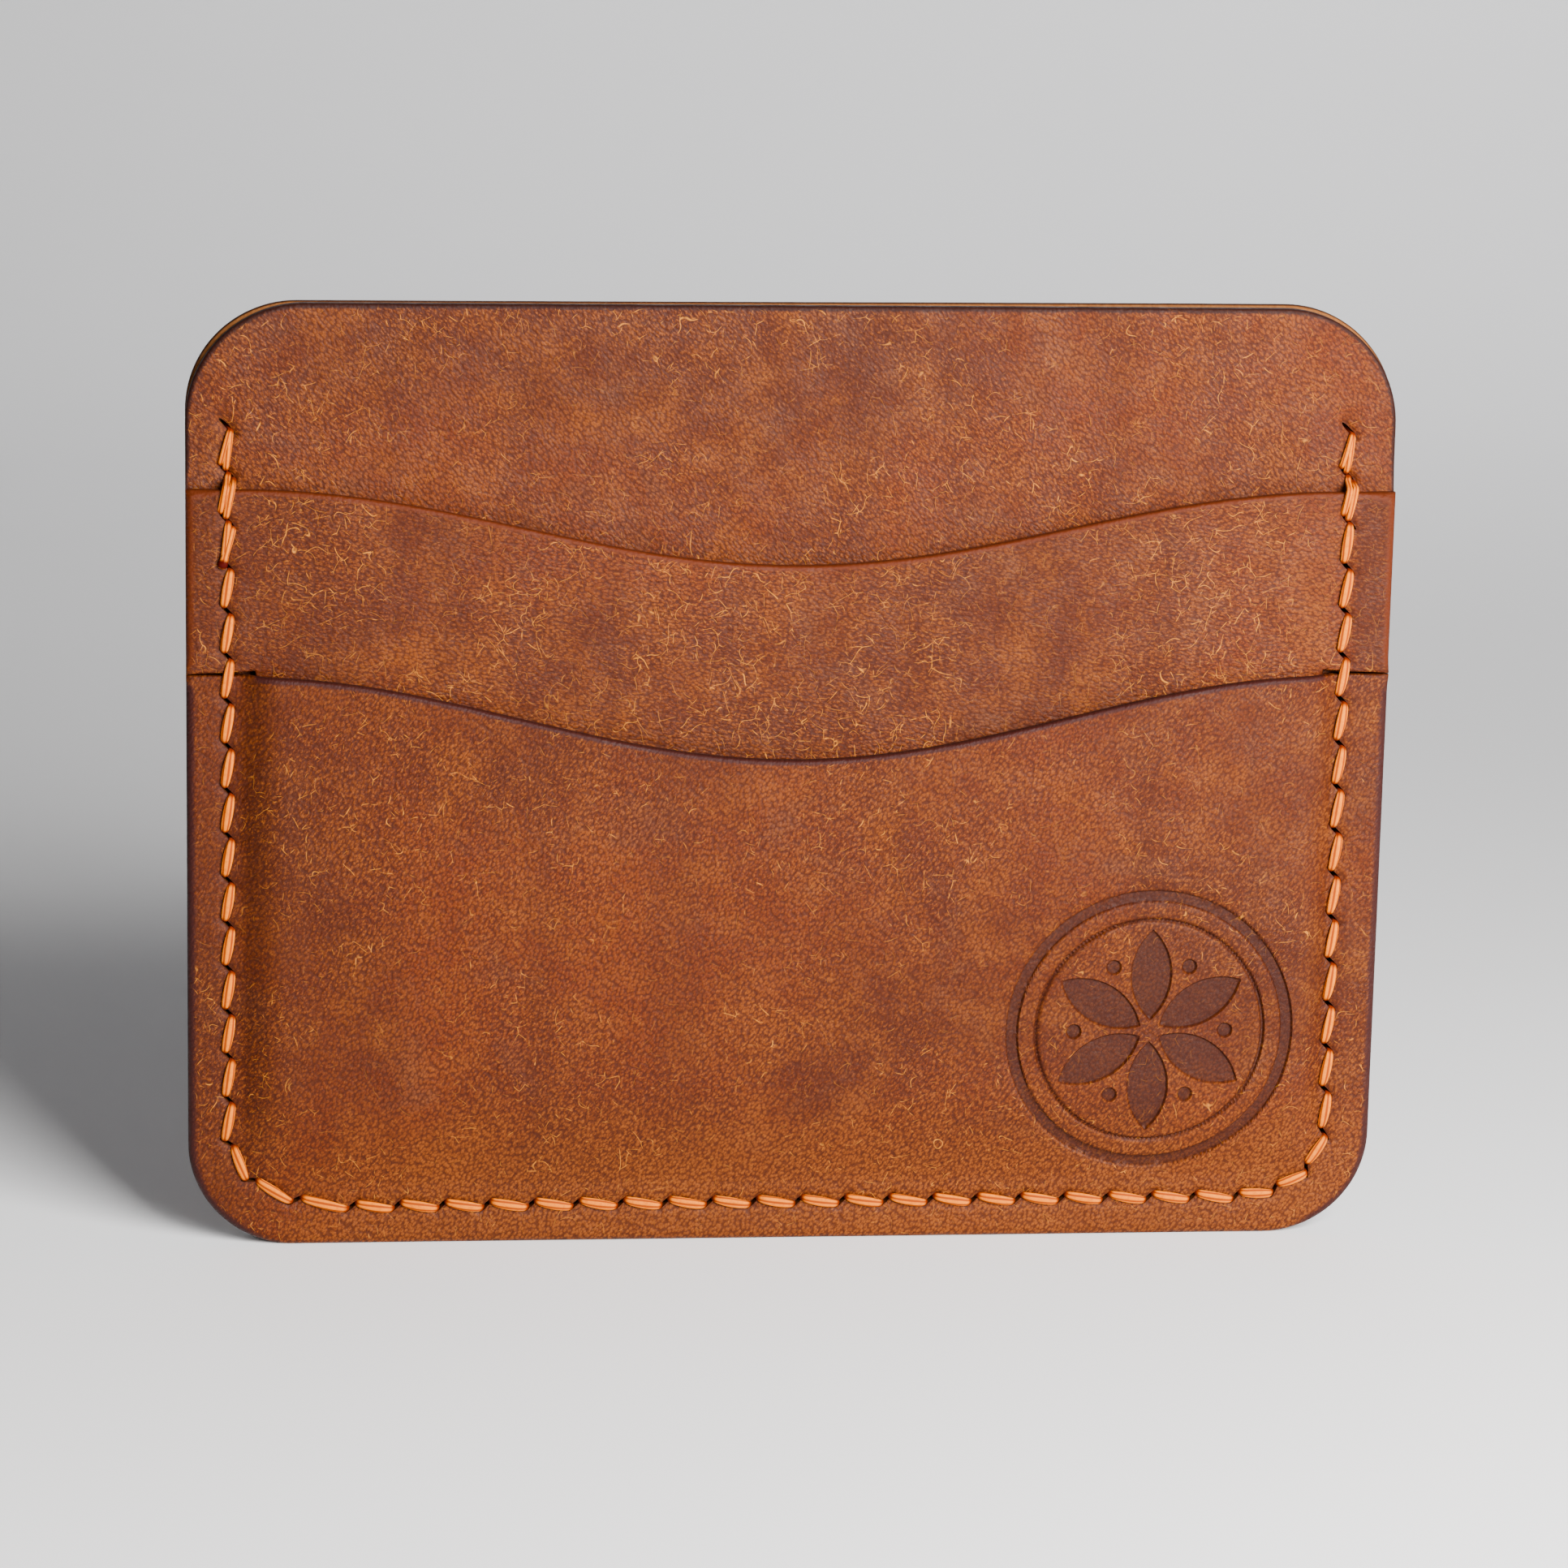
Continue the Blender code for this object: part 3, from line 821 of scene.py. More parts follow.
@dataclass
class BackPanel(LeatherSheet):
    """The outer back, grain outwards, that bows away from the front panel at its top right."""

    room: float = 0.35
    side_ramp: float = 6.0
    foot_start: float = 5.0
    foot_ramp: float = 11.0
    flare: float = 1.3
    flare_run: float = 12.0
    flare_foot: float = 45.0
    flare_left: float = -40.0
    last_slit: Pair = (47.5, 70.7)

    def outline(self) -> np.ndarray:
        """Rectangle with round corners."""
        return panel_outline(self.pattern, self.pattern.back_top_radius, self.outline_step)

    def stand_off(self, points: np.ndarray) -> np.ndarray:
        """How far the panel stands off: a card's room everywhere, and a flare at the top right."""
        x, z = points[:, 0], points[:, 1]
        room = spring_up((self.pattern.lift_edge - np.abs(x)) / self.side_ramp)
        room = room * spring_up((z - self.foot_start) / self.foot_ramp)
        slit_x, slit_z = self.last_slit
        reach = np.hypot(np.maximum(0.0, z - slit_z), np.maximum(0.0, slit_x - np.abs(x)))
        opening = ease((z - self.flare_foot) / (self.pattern.height - self.flare_foot))
        opening = opening * ease((x - self.flare_left) / (-2.0 * self.flare_left))
        return self.room * room + self.flare * ease(reach / self.flare_run) * opening

    def front_y(self, points: np.ndarray) -> np.ndarray:
        """Flesh side, a hair's breadth from the front panel along the border."""
        return self.pattern.back_y - self.pattern.hair * self.border(points) + self.stand_off(points)

    def back_y(self, points: np.ndarray) -> np.ndarray:
        """Grain side with the groove of the long seam."""
        face = self.pattern.back_y + self.pattern.leather + self.stand_off(points)
        return face + self.sway(points, 1.3) * (1.0 - self.border(points)) - self.sewn_in(points)

    def rounding(self, points: np.ndarray, face: Face) -> np.ndarray:
        """Well rounded on the outside, hardly rounded against the front panel below the opening."""
        if face is Face.BACK:
            return np.full(len(points), 0.75)
        return 0.1 + 0.2 * ease((points[:, 1] - 66.0) / 8.0)


@dataclass
class FrontPanel(LeatherSheet):
    """The middle panel, which shows above the pockets."""

    groove: Groove = Groove(0.12, 0.55, 0.20, 0.28, 0.0)

    def outline(self) -> np.ndarray:
        """Rectangle with round corners."""
        return panel_outline(self.pattern, self.pattern.top_radius, self.outline_step)

    def front_y(self, points: np.ndarray) -> np.ndarray:
        """Grain side, with the groove of the stitches above the tabs."""
        open_part = ease((points[:, 1] - self.pattern.upper_mouth) / 0.6)
        level = self.pattern.panel_y - self.pattern.hair * self.border(points) * (1.0 - open_part)
        return level + self.sewn_in(points) * open_part

    def back_y(self, points: np.ndarray) -> np.ndarray:
        """Flesh side."""
        return self.pattern.panel_y + self.pattern.leather + self.pattern.hair * self.border(points)

    def rounding(self, points: np.ndarray, face: Face) -> np.ndarray:
        """Rounded where the edge is free, square where the layers are pressed together."""
        free = ease((points[:, 1] - self.pattern.upper_mouth) / 3.0)
        return 0.08 + (0.30 if face is Face.FRONT else 0.2) * free

    def sewn_in(self, points: np.ndarray) -> np.ndarray:
        """Groove and dimples of the stitches above the tabs, on both sides."""
        seam = self.seams[0][0]
        top = seam.only(lambda z: z > self.pattern.upper_mouth)
        last = len(seam.holes) - 1
        line_gap = segment_distance(points, seam.holes[[0, last - 1]], seam.holes[[1, last]])
        return self.groove.dent(line_gap, seam.slit_distance(points, top))


@dataclass(frozen=True)
class OilAndPaintedLight:
    """Where a pocket gets painted shade beside its left seam, where oil has darkened its right border, and
    where it gets painted light from the floor towards its foot.
    """

    # seam_*: painted shade beside the left seam, where the pocket slopes away from the light.
    seam_x: float = -46.2
    seam_fade: float = 9.0
    seam_share: float = 0.6
    border_x: float = 47.6
    border_fade: float = 0.6
    border_share: float = 0.8
    # Painted light from the floor: the pocket is lighter towards its foot.
    foot_light_top: float = 17.0
    foot_light_run: float = 15.0
    foot_light_left: float = -50.0
    foot_light_fade: float = 10.0


@dataclass
class Pocket(LeatherSheet):
    """A front pocket, grain forwards, sewn on at its border and free at its mouth."""

    oil_and_light: OilAndPaintedLight = OilAndPaintedLight()
    mouth_round: float = 0.34
    outer_round: float = 0.8
    inner_round: float = 0.1
    butt_round: float = 0.66
    butt_polish: float = 0.8
    foot_polish: float = 0.70

    def stand_off(self, points: np.ndarray) -> np.ndarray:
        """How far the pocket stands off from the layer behind it."""
        raise NotImplementedError

    def front_y(self, points: np.ndarray) -> np.ndarray:
        """Grain side with the groove of the long seam."""
        free = 1.0 - self.border(points)
        face = self.pattern.pocket_y - self.stand_off(points)
        return face + self.sway(points, 0.4) * free + self.sewn_in(points)

    def back_y(self, points: np.ndarray) -> np.ndarray:
        """Flesh side, a hair's breadth from the front panel along the border."""
        face = self.pattern.pocket_y + self.pattern.leather - self.stand_off(points)
        return face + self.pattern.hair * self.border(points)

    def rounding(self, points: np.ndarray, face: Face) -> np.ndarray:
        """Well rounded along the border on the outside, lightly rounded at the mouth."""
        x, z = points[:, 0], points[:, 1]
        outer = ease((np.abs(x) - self.pattern.half_width + 3.0) / 2.0)
        outer = np.maximum(outer, ease((7.0 - z) / 3.0))
        side = self.outer_round if face is Face.FRONT else self.inner_round
        radius = self.mouth_round + (side - self.mouth_round) * outer
        return radius * (1.0 - self.butt_round * self.butted(points))

    def butted(self, points: np.ndarray) -> np.ndarray:
        """Nearness to the butt joint between the tabs and the lower pocket."""
        close = bell(points[:, 1] - self.pattern.lower_mouth, 0.8)
        return close * ease((np.abs(points[:, 0]) - self.pattern.stem_half + 0.4) / 0.8)

    def polish(self, points: np.ndarray) -> np.ndarray:
        """Edges are burnished, less so along the foot and hardly in the butt joint."""
        inset = self.pattern.half_width - np.abs(points[:, 0])
        foot = ease((4.0 - points[:, 1]) / 3.0) * ease((inset - 4.0) / 4.0)
        return 1.0 - np.maximum(self.butt_polish * self.butted(points), self.foot_polish * foot)

    def tone(self, points: np.ndarray) -> np.ndarray:
        """Painted shade beside the left seam, darkened by oil on the right border, and painted light from
        the floor towards the foot.
        """
        x, z, oil_and_light = points[:, 0], points[:, 1], self.oil_and_light
        # Painted shade: beside its left seam the pocket slopes away from the light.
        beside_left = bell(np.maximum(0.0, x - oil_and_light.seam_x), oil_and_light.seam_fade)
        on_tab = ease((z - self.pattern.lower_mouth + 0.5) / 0.5)
        right_border = ease((x - oil_and_light.border_x) / oil_and_light.border_fade) * on_tab
        # Painted light from the floor: lighter towards the foot.
        foot_light = ease((oil_and_light.foot_light_top - z) / oil_and_light.foot_light_run)
        foot_light = foot_light * ease((x - oil_and_light.foot_light_left) / oil_and_light.foot_light_fade)
        return np.maximum(oil_and_light.seam_share * beside_left, oil_and_light.border_share * right_border) - foot_light


@dataclass
class UpperPocket(Pocket):
    """T-shaped: two tabs in the side seams, and a stem that runs down behind the lower pocket."""

    skiving: float = 0.75
    notch: float = 0.30
    foot_round: float = 2.0
    taper_height: float = 30.0
    room_start: float = 20.0
    foot_ramp: float = 8.0
    side_ramp: float = 10.0

    def outline(self) -> np.ndarray:
        """Mouth curve, tabs and stem, counter-clockwise from the foot of the stem's left side."""
        cut, step, bend, taper = self.pattern, self.outline_step, self.foot_round, self.taper_height
        shoulder, side, foot = cut.stem_half, cut.stem_waist, cut.stem_foot
        tab = cut.lower_mouth + cut.butt_gap
        notch = tab + self.notch
        return np.concatenate([
            line((-cut.half_width, tab), (-shoulder, notch), step),
            line((-shoulder, notch), (-shoulder, taper), 1.2),
            line((-shoulder, taper), (-side, foot + bend), 1.5),
            arc((-side + bend, foot + bend), bend, 180.0, 270.0, step),
            line((-side + bend, foot), (side - bend, foot), 1.5),
            arc((side - bend, foot + bend), bend, 270.0, 360.0, step),
            line((side, foot + bend), (shoulder, taper), 1.5),
            line((shoulder, taper), (shoulder, notch), 1.2),
            line((shoulder, notch), (cut.half_width, tab), step),
            line((cut.half_width, tab), (cut.half_width, cut.upper_mouth), step),
            mouth_line(cut, cut.upper_mouth, cut.upper_dip, step),
            line((-cut.half_width, cut.upper_mouth), (-cut.half_width, tab), step),
        ])

    def stand_off(self, points: np.ndarray) -> np.ndarray:
        """A card's room behind the stem."""
        across = spring_up((self.pattern.lift_edge - np.abs(points[:, 0])) / self.side_ramp)
        upwards = spring_up((points[:, 1] - self.room_start) / self.foot_ramp)
        return self.pattern.upper_lift * across * upwards

    def front_y(self, points: np.ndarray) -> np.ndarray:
        """Grain side, with the stem skived thin along the sides that the lower pocket covers."""
        aside = ease((np.abs(points[:, 0]) - self.pattern.stem_waist + 0.3) / 2.0)
        covered = ease((self.pattern.lower_mouth - 0.2 - points[:, 1]) / 1.6)
        return super().front_y(points) + self.skiving * aside * covered


@dataclass
class LowerPocket(Pocket):
    """The foremost pocket, with the maker's mark pressed into its lower right."""

    mark: MakersMark = field(default_factory=MakersMark)
    step_up: float = 1.45
    step_run: float = 3.1
    foot_start: float = 5.0
    foot_ramp: float = 9.5
    swell_start: float = 8.0
    swell_run: float = 26.0
    mark_margin: float = 0.35

    def outline(self) -> np.ndarray:
        """Round lower corners and the mouth curve."""
        cut, step = self.pattern, self.outline_step
        return np.concatenate([
            lower_corners(cut, step),
            line((cut.half_width, cut.bottom_radius), (cut.half_width, cut.lower_mouth), step),
            mouth_line(cut, cut.lower_mouth, cut.lower_dip, step),
            line((-cut.half_width, cut.lower_mouth), (-cut.half_width, cut.bottom_radius), step),
        ])

    def stand_off(self, points: np.ndarray) -> np.ndarray:
        """A quick rise over the edge of the upper pocket's stem, then a slow swell to the middle."""
        aside, z = self.pattern.pocket_edge - np.abs(points[:, 0]), points[:, 1]
        over_stem = spring_up(aside / self.step_run) * spring_up((z - self.foot_start) / self.foot_ramp)
        swell = ease(aside / self.swell_run) * ease((z - self.swell_start) / self.swell_run)
        return self.step_up * over_stem + (self.pattern.lower_lift - self.step_up) * swell

    def extra_points(self) -> np.ndarray:
        """Mesh points of the mark."""
        return self.mark.points()

    def extra_zone(self, points: np.ndarray) -> np.ndarray:
        """The mark's own disc."""
        return self.mark.polar(points)[0] < self.mark.radius + self.mark_margin

    def pressed(self, points: np.ndarray) -> np.ndarray:
        """The mark's relief."""
        return self.mark.pressed(points)

    def mark_depth(self) -> float:
        """Depth of the mark."""
        return self.mark.depth


def lower_corners(cut: Pattern, step: float) -> np.ndarray:
    """The foot of a panel: two round corners and the straight run between them."""
    side, radius = cut.half_width - cut.bottom_radius, cut.bottom_radius
    return np.concatenate([
        arc((-side, radius), radius, 180.0, 270.0, step),
        line((-side, 0.0), (side, 0.0), step),
        arc((side, radius), radius, 270.0, 360.0, step),
    ])


def panel_outline(cut: Pattern, top_radius: float, step: float) -> np.ndarray:
    """A whole panel: a rectangle with round corners, counter-clockwise."""
    side, top = cut.half_width - top_radius, cut.height - top_radius
    return np.concatenate([
        lower_corners(cut, step),
        line((cut.half_width, cut.bottom_radius), (cut.half_width, top), step),
        arc((side, top), top_radius, 0.0, 90.0, step),
        line((side, cut.height), (-side, cut.height), step),
        arc((-side, top), top_radius, 90.0, 180.0, step),
        line((-cut.half_width, top), (-cut.half_width, cut.bottom_radius), step),
    ])


def mouth_line(cut: Pattern, level: float, dip: float, step: float) -> np.ndarray:
    """A pocket's mouth from the right edge to the left one, without its last point."""
    x = line((cut.half_width, 0.0), (-cut.half_width, 0.0), step)[:, 0]
    return np.column_stack([x, cut.mouth(x, level, dip)])


# ---------------------------------------------------------------------------------------------
# Threads
# ---------------------------------------------------------------------------------------------

@dataclass(frozen=True)
class Strand:
    """Section of a flat waxed thread: half its width and half its thickness, laid and in a hole."""

    laid: Pair = (0.45, 0.24)
    doubled: Pair = (0.31, 0.22)
    passing: Pair = (0.27, 0.17)
    bead: float = 0.5


@dataclass
class SewnThread:
    """One thread that goes through every slit, front to back by turns.

    The route is a chain of straight stretches, worked out stitch by stitch.  It is resampled at
    even steps and smoothed with a Gaussian, and an oval is carried along it.
    """

    name: str
    node: str
    seam: Seam
    order: list[int]
    levels: dict[Face, Callable[[np.ndarray], np.ndarray]]
    finish: bpy.types.Material
    strand: Strand = field(default_factory=Strand)
    sides: int = 12
    step: float = 0.05
    blur: float = 0.19
    blur_reach: int = 8
    thin_laid: int = 4
    thin_hidden: int = 24
    single_slot: float = 0.45
    paired_slots: Pair = (0.78, 0.18)
    melted: bool = True
    piece: bpy.types.Object = field(init=False)

    shares = np.array([0.0, 0.03, 0.13, 0.30, 0.50, 0.70, 0.87, 0.97, 1.0])
    rise = np.array([-0.75, -0.16, 0.07, 0.15, 0.17, 0.15, 0.07, -0.16, -0.75])
    fullness = np.array([0.0, 0.20, 0.52, 0.88, 1.0, 0.88, 0.52, 0.20, 0.0])

    def slot(self, index: int, interval: int, face: Face, turn: int) -> float:
        """Place along the slit for the end of a run.

        Args:
            index: number of the slit.
            interval: number of the gap between slits that the run crosses.
            face: the side of the work that the run lies on.
            turn: how many runs of this face have used the slit's half before.

        Returns:
            Offset along the slit.
        """
        side = (1.0 if interval == index else -1.0) * (1.0 if face is Face.FRONT else -1.0)
        if self.order[1:-1].count(index) <= 2:
            return side * self.single_slot
        return side * self.paired_slots[(turn if side > 0.0 else 1 - turn) % 2]

    def outer_level(self, spots: np.ndarray, way: np.ndarray, face: Face) -> np.ndarray:
        """Level of the leather under the thread, where an edge near by holds it up."""
        near = np.stack([self.levels[face](spots + way * shift) for shift in (-0.45, 0.0, 0.45)])
        return (near * face.value).max(0) * face.value

    def route(self) -> np.ndarray:
        """Corner points of the whole route.

        Returns:
            Rows of x, y, z, the oval's width direction (x, z), its two half sizes, how deep it
            is in a hole and how melted it is.
        """
        slants = self.seam.slants()
        used: dict[tuple[int, int, Face], int] = {}
        counts: dict[int, int] = {}
        for start, end in zip(self.order, self.order[1:]):
            counts[min(start, end)] = counts.get(min(start, end), 0) + 1
        rows, width_way = [], np.array([1.0, 0.0])
        last_run = len(self.order) - 2
        for number, (start, end) in enumerate(zip(self.order, self.order[1:])):
            face = Face.FRONT if number % 2 == 0 else Face.BACK
            interval, ends = min(start, end), []
            for index in (start, end):
                key = (index, interval, face)
                offset = self.slot(index, interval, face, used.get(key, 0))
                used[key] = used.get(key, 0) + 1
                ends.append(self.seam.holes[index] + slants[index] * offset)
            along = ends[1] - ends[0]
            way = along / np.linalg.norm(along)
            across = np.array([-way[1], way[0]])
            if across @ width_way < 0.0:
                across = -across
            width_way = across
            doubled = counts[interval] > 2
            size = np.array(self.strand.doubled if doubled else self.strand.laid)
            shares, rise, full = self.shares, self.rise, self.fullness
            melt = np.zeros(len(shares))
            if self.melted and number in (0, last_run):
                shares, rise, full, melt = self.bead_end(number == 0)
            spots = ends[0] + along * shares[:, None]
            level = np.where(rise < -0.5, self.levels[face](spots), self.outer_level(spots, way, face))
            sizes = np.array(self.strand.passing) + (size - self.strand.passing) * full[:, None]
            sizes = sizes + (self.strand.bead - sizes) * (melt[:, None] * [0.8, 0.35])
            depth = ease((0.12 - rise) / 0.3)
            rows.append(np.column_stack([
                spots[:, 0], level + face.value * rise, spots[:, 1],
                np.tile(across, (len(shares), 1)), sizes, depth, melt,
            ]))
        return np.concatenate(rows)

    def bead_end(self, at_start: bool) -> tuple[np.ndarray, ...]:
        """A run with a melted bead in place of the dive at its free end."""
        shares = np.array([-0.16, -0.10, -0.03, 0.05, 0.14])
        rise = np.array([0.04, 0.15, 0.20, 0.18, 0.15])
        melt = np.array([0.15, 1.0, 1.0, 0.5, 0.0])
        full = np.array([0.0, 0.8, 1.0, 1.0, 0.9])
        shares = np.concatenate([shares, self.shares[3:]])
        rise = np.concatenate([rise, self.rise[3:]])
        full = np.concatenate([full, self.fullness[3:]])
        melt = np.concatenate([melt, np.zeros(len(self.shares) - 3)])
        if at_start:
            return shares, rise, full, melt
        return 1.0 - shares[::-1], rise[::-1], full[::-1], melt[::-1]

    def smoothed(self) -> tuple[np.ndarray, np.ndarray]:
        """Resample the route by its length, smooth it, and thin it out inside the leather.

        Returns:
            The thinned rows of the route, and the length of thread at each of them.
        """
        rows = self.route()
        gaps = np.linalg.norm(np.diff(rows[:, :3], axis=0), axis=1)
        length = np.concatenate([[0.0], np.cumsum(gaps)])
        place = np.arange(0.0, length[-1], self.step)
        even = np.column_stack([np.interp(place, length, column) for column in rows.T])
        reach = self.blur_reach
        kernel = bell(np.arange(-reach, reach + 1) * self.step, self.blur)
        kernel /= kernel.sum()
        padded = np.pad(even, ((reach, reach), (0, 0)), "edge")
        smooth = np.column_stack([np.convolve(column, kernel, "valid") for column in padded.T])
        number, shown = np.arange(len(smooth)), smooth[:, 7] < 0.995
        keep = (number % self.thin_laid == 0) & shown | (number % self.thin_hidden == 0)
        keep[[0, -1]] = True
        return smooth[keep], place[keep]

    def build(self) -> bpy.types.Object:
        """Carry the oval along the route and close both ends.

        A ring is centre + a cos(t) W + b sin(t) (T x W), with T the route's direction and W the
        width direction made square to it.

        Returns:
            The finished piece.
        """
        rows, place = self.smoothed()
        centre = rows[:, :3]
        ahead = np.gradient(centre, axis=0)
        ahead /= np.linalg.norm(ahead, axis=1, keepdims=True)
        width = np.column_stack([rows[:, 3], np.zeros(len(rows)), rows[:, 4]])
        width -= ahead * (width * ahead).sum(1, keepdims=True)
        width /= np.linalg.norm(width, axis=1, keepdims=True)
        thick = np.cross(ahead, width)
        angle = np.arange(self.sides) * 2.0 * np.pi / self.sides
        ring = centre[:, None] + rows[:, 5, None, None] * np.cos(angle)[None, :, None] * width[:, None]
        ring = ring + rows[:, 6, None, None] * np.sin(angle)[None, :, None] * thick[:, None]
        vertices = np.concatenate([ring.reshape(-1, 3), centre[[0, -1]]])
        count, sides = len(rows), self.sides
        first = (np.arange(count - 1)[:, None] * sides + np.arange(sides)[None]).ravel()
        turn = (np.arange(count - 1)[:, None] * sides + (np.arange(sides)[None] + 1) % sides).ravel()
        quads = np.column_stack([first, turn, turn + sides, first + sides])
        near, wrap = np.arange(sides), (np.arange(sides) + 1) % sides
        far, tips = (count - 1) * sides, count * sides
        caps = np.concatenate([
            np.column_stack([wrap, near, np.full(sides, tips)]),
            np.column_stack([far + near, far + wrap, np.full(sides, tips + 1)]),
        ])
        self.piece = mesh_object(self.name, vertices, quads.tolist() + caps.tolist(), self.finish)
        self.lay_uv(place)
        for column, label in ((7, "dip"), (8, "melt")):
            value = np.concatenate([np.repeat(rows[:, column], sides), rows[[0, -1], column]])
            store(self.piece, label, value)
        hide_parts(self.node)
        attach(self.piece, "root")
        LOG.info("%s: %.0f mm of thread, %d corners", self.name, place[-1], len(vertices))
        return self.piece

    def lay_uv(self, place: np.ndarray) -> None:
        """Map the thread: u is its length in millimetres, and v goes once round it."""
        sides = self.sides
        around = np.arange(sides) / sides
        u0 = np.repeat(place[:-1], sides)
        u1 = np.repeat(place[1:], sides)
        v0 = np.tile(around, len(place) - 1)
        v1 = v0 + 1.0 / sides
        wall = np.stack([np.column_stack([u0, v0]), np.column_stack([u0, v1]),
                         np.column_stack([u1, v1]), np.column_stack([u1, v0])], 1).reshape(-1, 2)
        caps = np.zeros((2 * sides * 3, 2))
        caps[3 * sides:, 0] = place[-1]
        layer = self.piece.data.uv_layers.new(name="thread_length")
        layer.data.foreach_set("uv", np.concatenate([wall, caps]).astype(np.float32).ravel())


# ---------------------------------------------------------------------------------------------
# Finishes
# ---------------------------------------------------------------------------------------------

def paint(red: float, green: float, blue: float) -> tuple[float, float, float, float]:
    """Colour from display values of 0 to 255, as the light values that a shader takes."""
    share = np.array([red, green, blue]) / 255.0
    light = np.where(share <= 0.04045, share / 12.92, ((share + 0.055) / 1.055) ** 2.4)
    return (*light.tolist(), 1.0)


class NodeBench:
    """Lays out the nodes of one procedural material, in millimetres of the object."""

    def __init__(self, name: str) -> None:
        """Start a material with a Principled shader."""
        self.material = bpy.data.materials.new(name)
        self.material.use_nodes = True
        self.tree = self.material.node_tree
        self.shader = self.tree.nodes["Principled BSDF"]

    def add(self, kind: str, inputs: dict[str | int, Value], **settings: object) -> bpy.types.Node:
        """Add a node.

        Args:
            kind: the node's type name, without its ShaderNode prefix.
            inputs: sockets to link and values to set, by the input's name or number.
            settings: the node's own properties.

        Returns:
            The node.
        """
        node = self.tree.nodes.new("ShaderNode" + kind)
        for label, value in settings.items():
            setattr(node, label, value)
        for key, value in inputs.items():
            if isinstance(value, bpy.types.NodeSocket):
                self.tree.links.new(value, node.inputs[key])
            else:
                node.inputs[key].default_value = value
        return node

    def flat(self, turn: float = 0.0, shift: float = 0.0, squeeze: float = 1.0) -> bpy.types.NodeSocket:
        """Object coordinates in millimetres, laid flat: X and Z of the piece, turned in their plane.

        Args:
            turn: angle of the turn.
            shift: how far the pattern is slid, so that pieces differ.
            squeeze: stretch of the pattern's second direction.

        Returns:
            The coordinates, with the piece's depth as their third value.
        """
        place = self.add("TexCoord", {}).outputs["Object"]
        laid = self.add("Mapping", {"Vector": place, "Scale": (1000.0, 1000.0, 1000.0),
                                    "Rotation": (math.pi / 2.0, 0.0, turn),
                                    "Location": (shift, 0.6 * shift, 0.0)}).outputs["Vector"]
        if squeeze == 1.0:
            return laid
        return self.add("Mapping", {"Vector": laid, "Scale": (1.0, squeeze, 1.0)}).outputs["Vector"]

    def millimetres(self) -> bpy.types.NodeSocket:
        """Object coordinates in millimetres."""
        place = self.add("TexCoord", {}).outputs["Object"]
        return self.add("Mapping", {"Vector": place, "Scale": (1000.0, 1000.0, 1000.0)}).outputs["Vector"]

    def noise(self, where: bpy.types.NodeSocket, scale: float, detail: float = 2.0, rough: float = 0.5,
              bend: float = 0.0, solid: bool = False) -> bpy.types.NodeSocket:
        """Cloud noise from 0 to 1, flat or through the solid."""
        inputs = {"Vector": where, "Scale": scale, "Detail": detail, "Roughness": rough, "Distortion": bend}
        return self.add("TexNoise", inputs, noise_dimensions="3D" if solid else "2D").outputs["Fac"]

    def cells(self, where: bpy.types.NodeSocket, scale: float, feature: str = "F1") -> bpy.types.NodeSocket:
        """Distance to the nearest of many scattered points, or to the borders between them."""
        return self.add("TexVoronoi", {"Vector": where, "Scale": scale}, feature=feature,
                        voronoi_dimensions="2D").outputs["Distance"]

    def sum_up(self, kind: str, first: Value, second: Value = 0.0,
               third: Value = 0.0) -> bpy.types.NodeSocket:
        """One arithmetic step, such as MULTIPLY or ADD."""
        return self.add("Math", {0: first, 1: second, 2: third}, operation=kind).outputs[0]

    def fade(self, value: bpy.types.NodeSocket, low: float, high: float, start: float = 0.0,
             end: float = 1.0) -> bpy.types.NodeSocket:
        """Smooth change from start to end while the value goes from low to high."""
        return self.add("MapRange", {"Value": value, "From Min": low, "From Max": high, "To Min": start,
                                     "To Max": end}, interpolation_type="SMOOTHSTEP").outputs["Result"]

    def blend(self, share: Value, first: Value, second: Value) -> bpy.types.NodeSocket:
        """Mix two colours."""
        return self.add("Mix", {0: share, 6: first, 7: second}, data_type="RGBA").outputs[2]

    def tint(self, tone: Value, colour: Triple, share: Value, strength: float = 1.0) -> bpy.types.NodeSocket:
        """Lay a display colour over a tone, by a share times a strength."""
        if strength != 1.0:
            share = self.sum_up("MULTIPLY", share, strength)
        return self.blend(share, tone, paint(*colour))

    def corner_value(self, name: str) -> bpy.types.NodeSocket:
        """A number stored at the corners of the mesh."""
        return self.add("Attribute", {}, attribute_name=name).outputs["Fac"]

    def relief(self, height: bpy.types.NodeSocket, depth: float, strength: float = 1.0,
               below: bpy.types.NodeSocket | None = None) -> bpy.types.NodeSocket:
        """Bump of a height map, depth in millimetres, over another bump if one is given."""
        inputs: dict[str | int, Value] = {"Height": height, "Strength": strength, "Distance": depth * MM}
        if below is not None:
            inputs["Normal"] = below
        return self.add("Bump", inputs).outputs["Normal"]

    def finish(self, **inputs: Value) -> bpy.types.Material:
        """Feed the shader, with spaces for underscores in the names of its inputs."""
        for label, value in inputs.items():
            socket = self.shader.inputs[label.replace("_", " ")]
            if isinstance(value, bpy.types.NodeSocket):
                self.tree.links.new(value, socket)
            else:
                socket.default_value = value
        return self.material


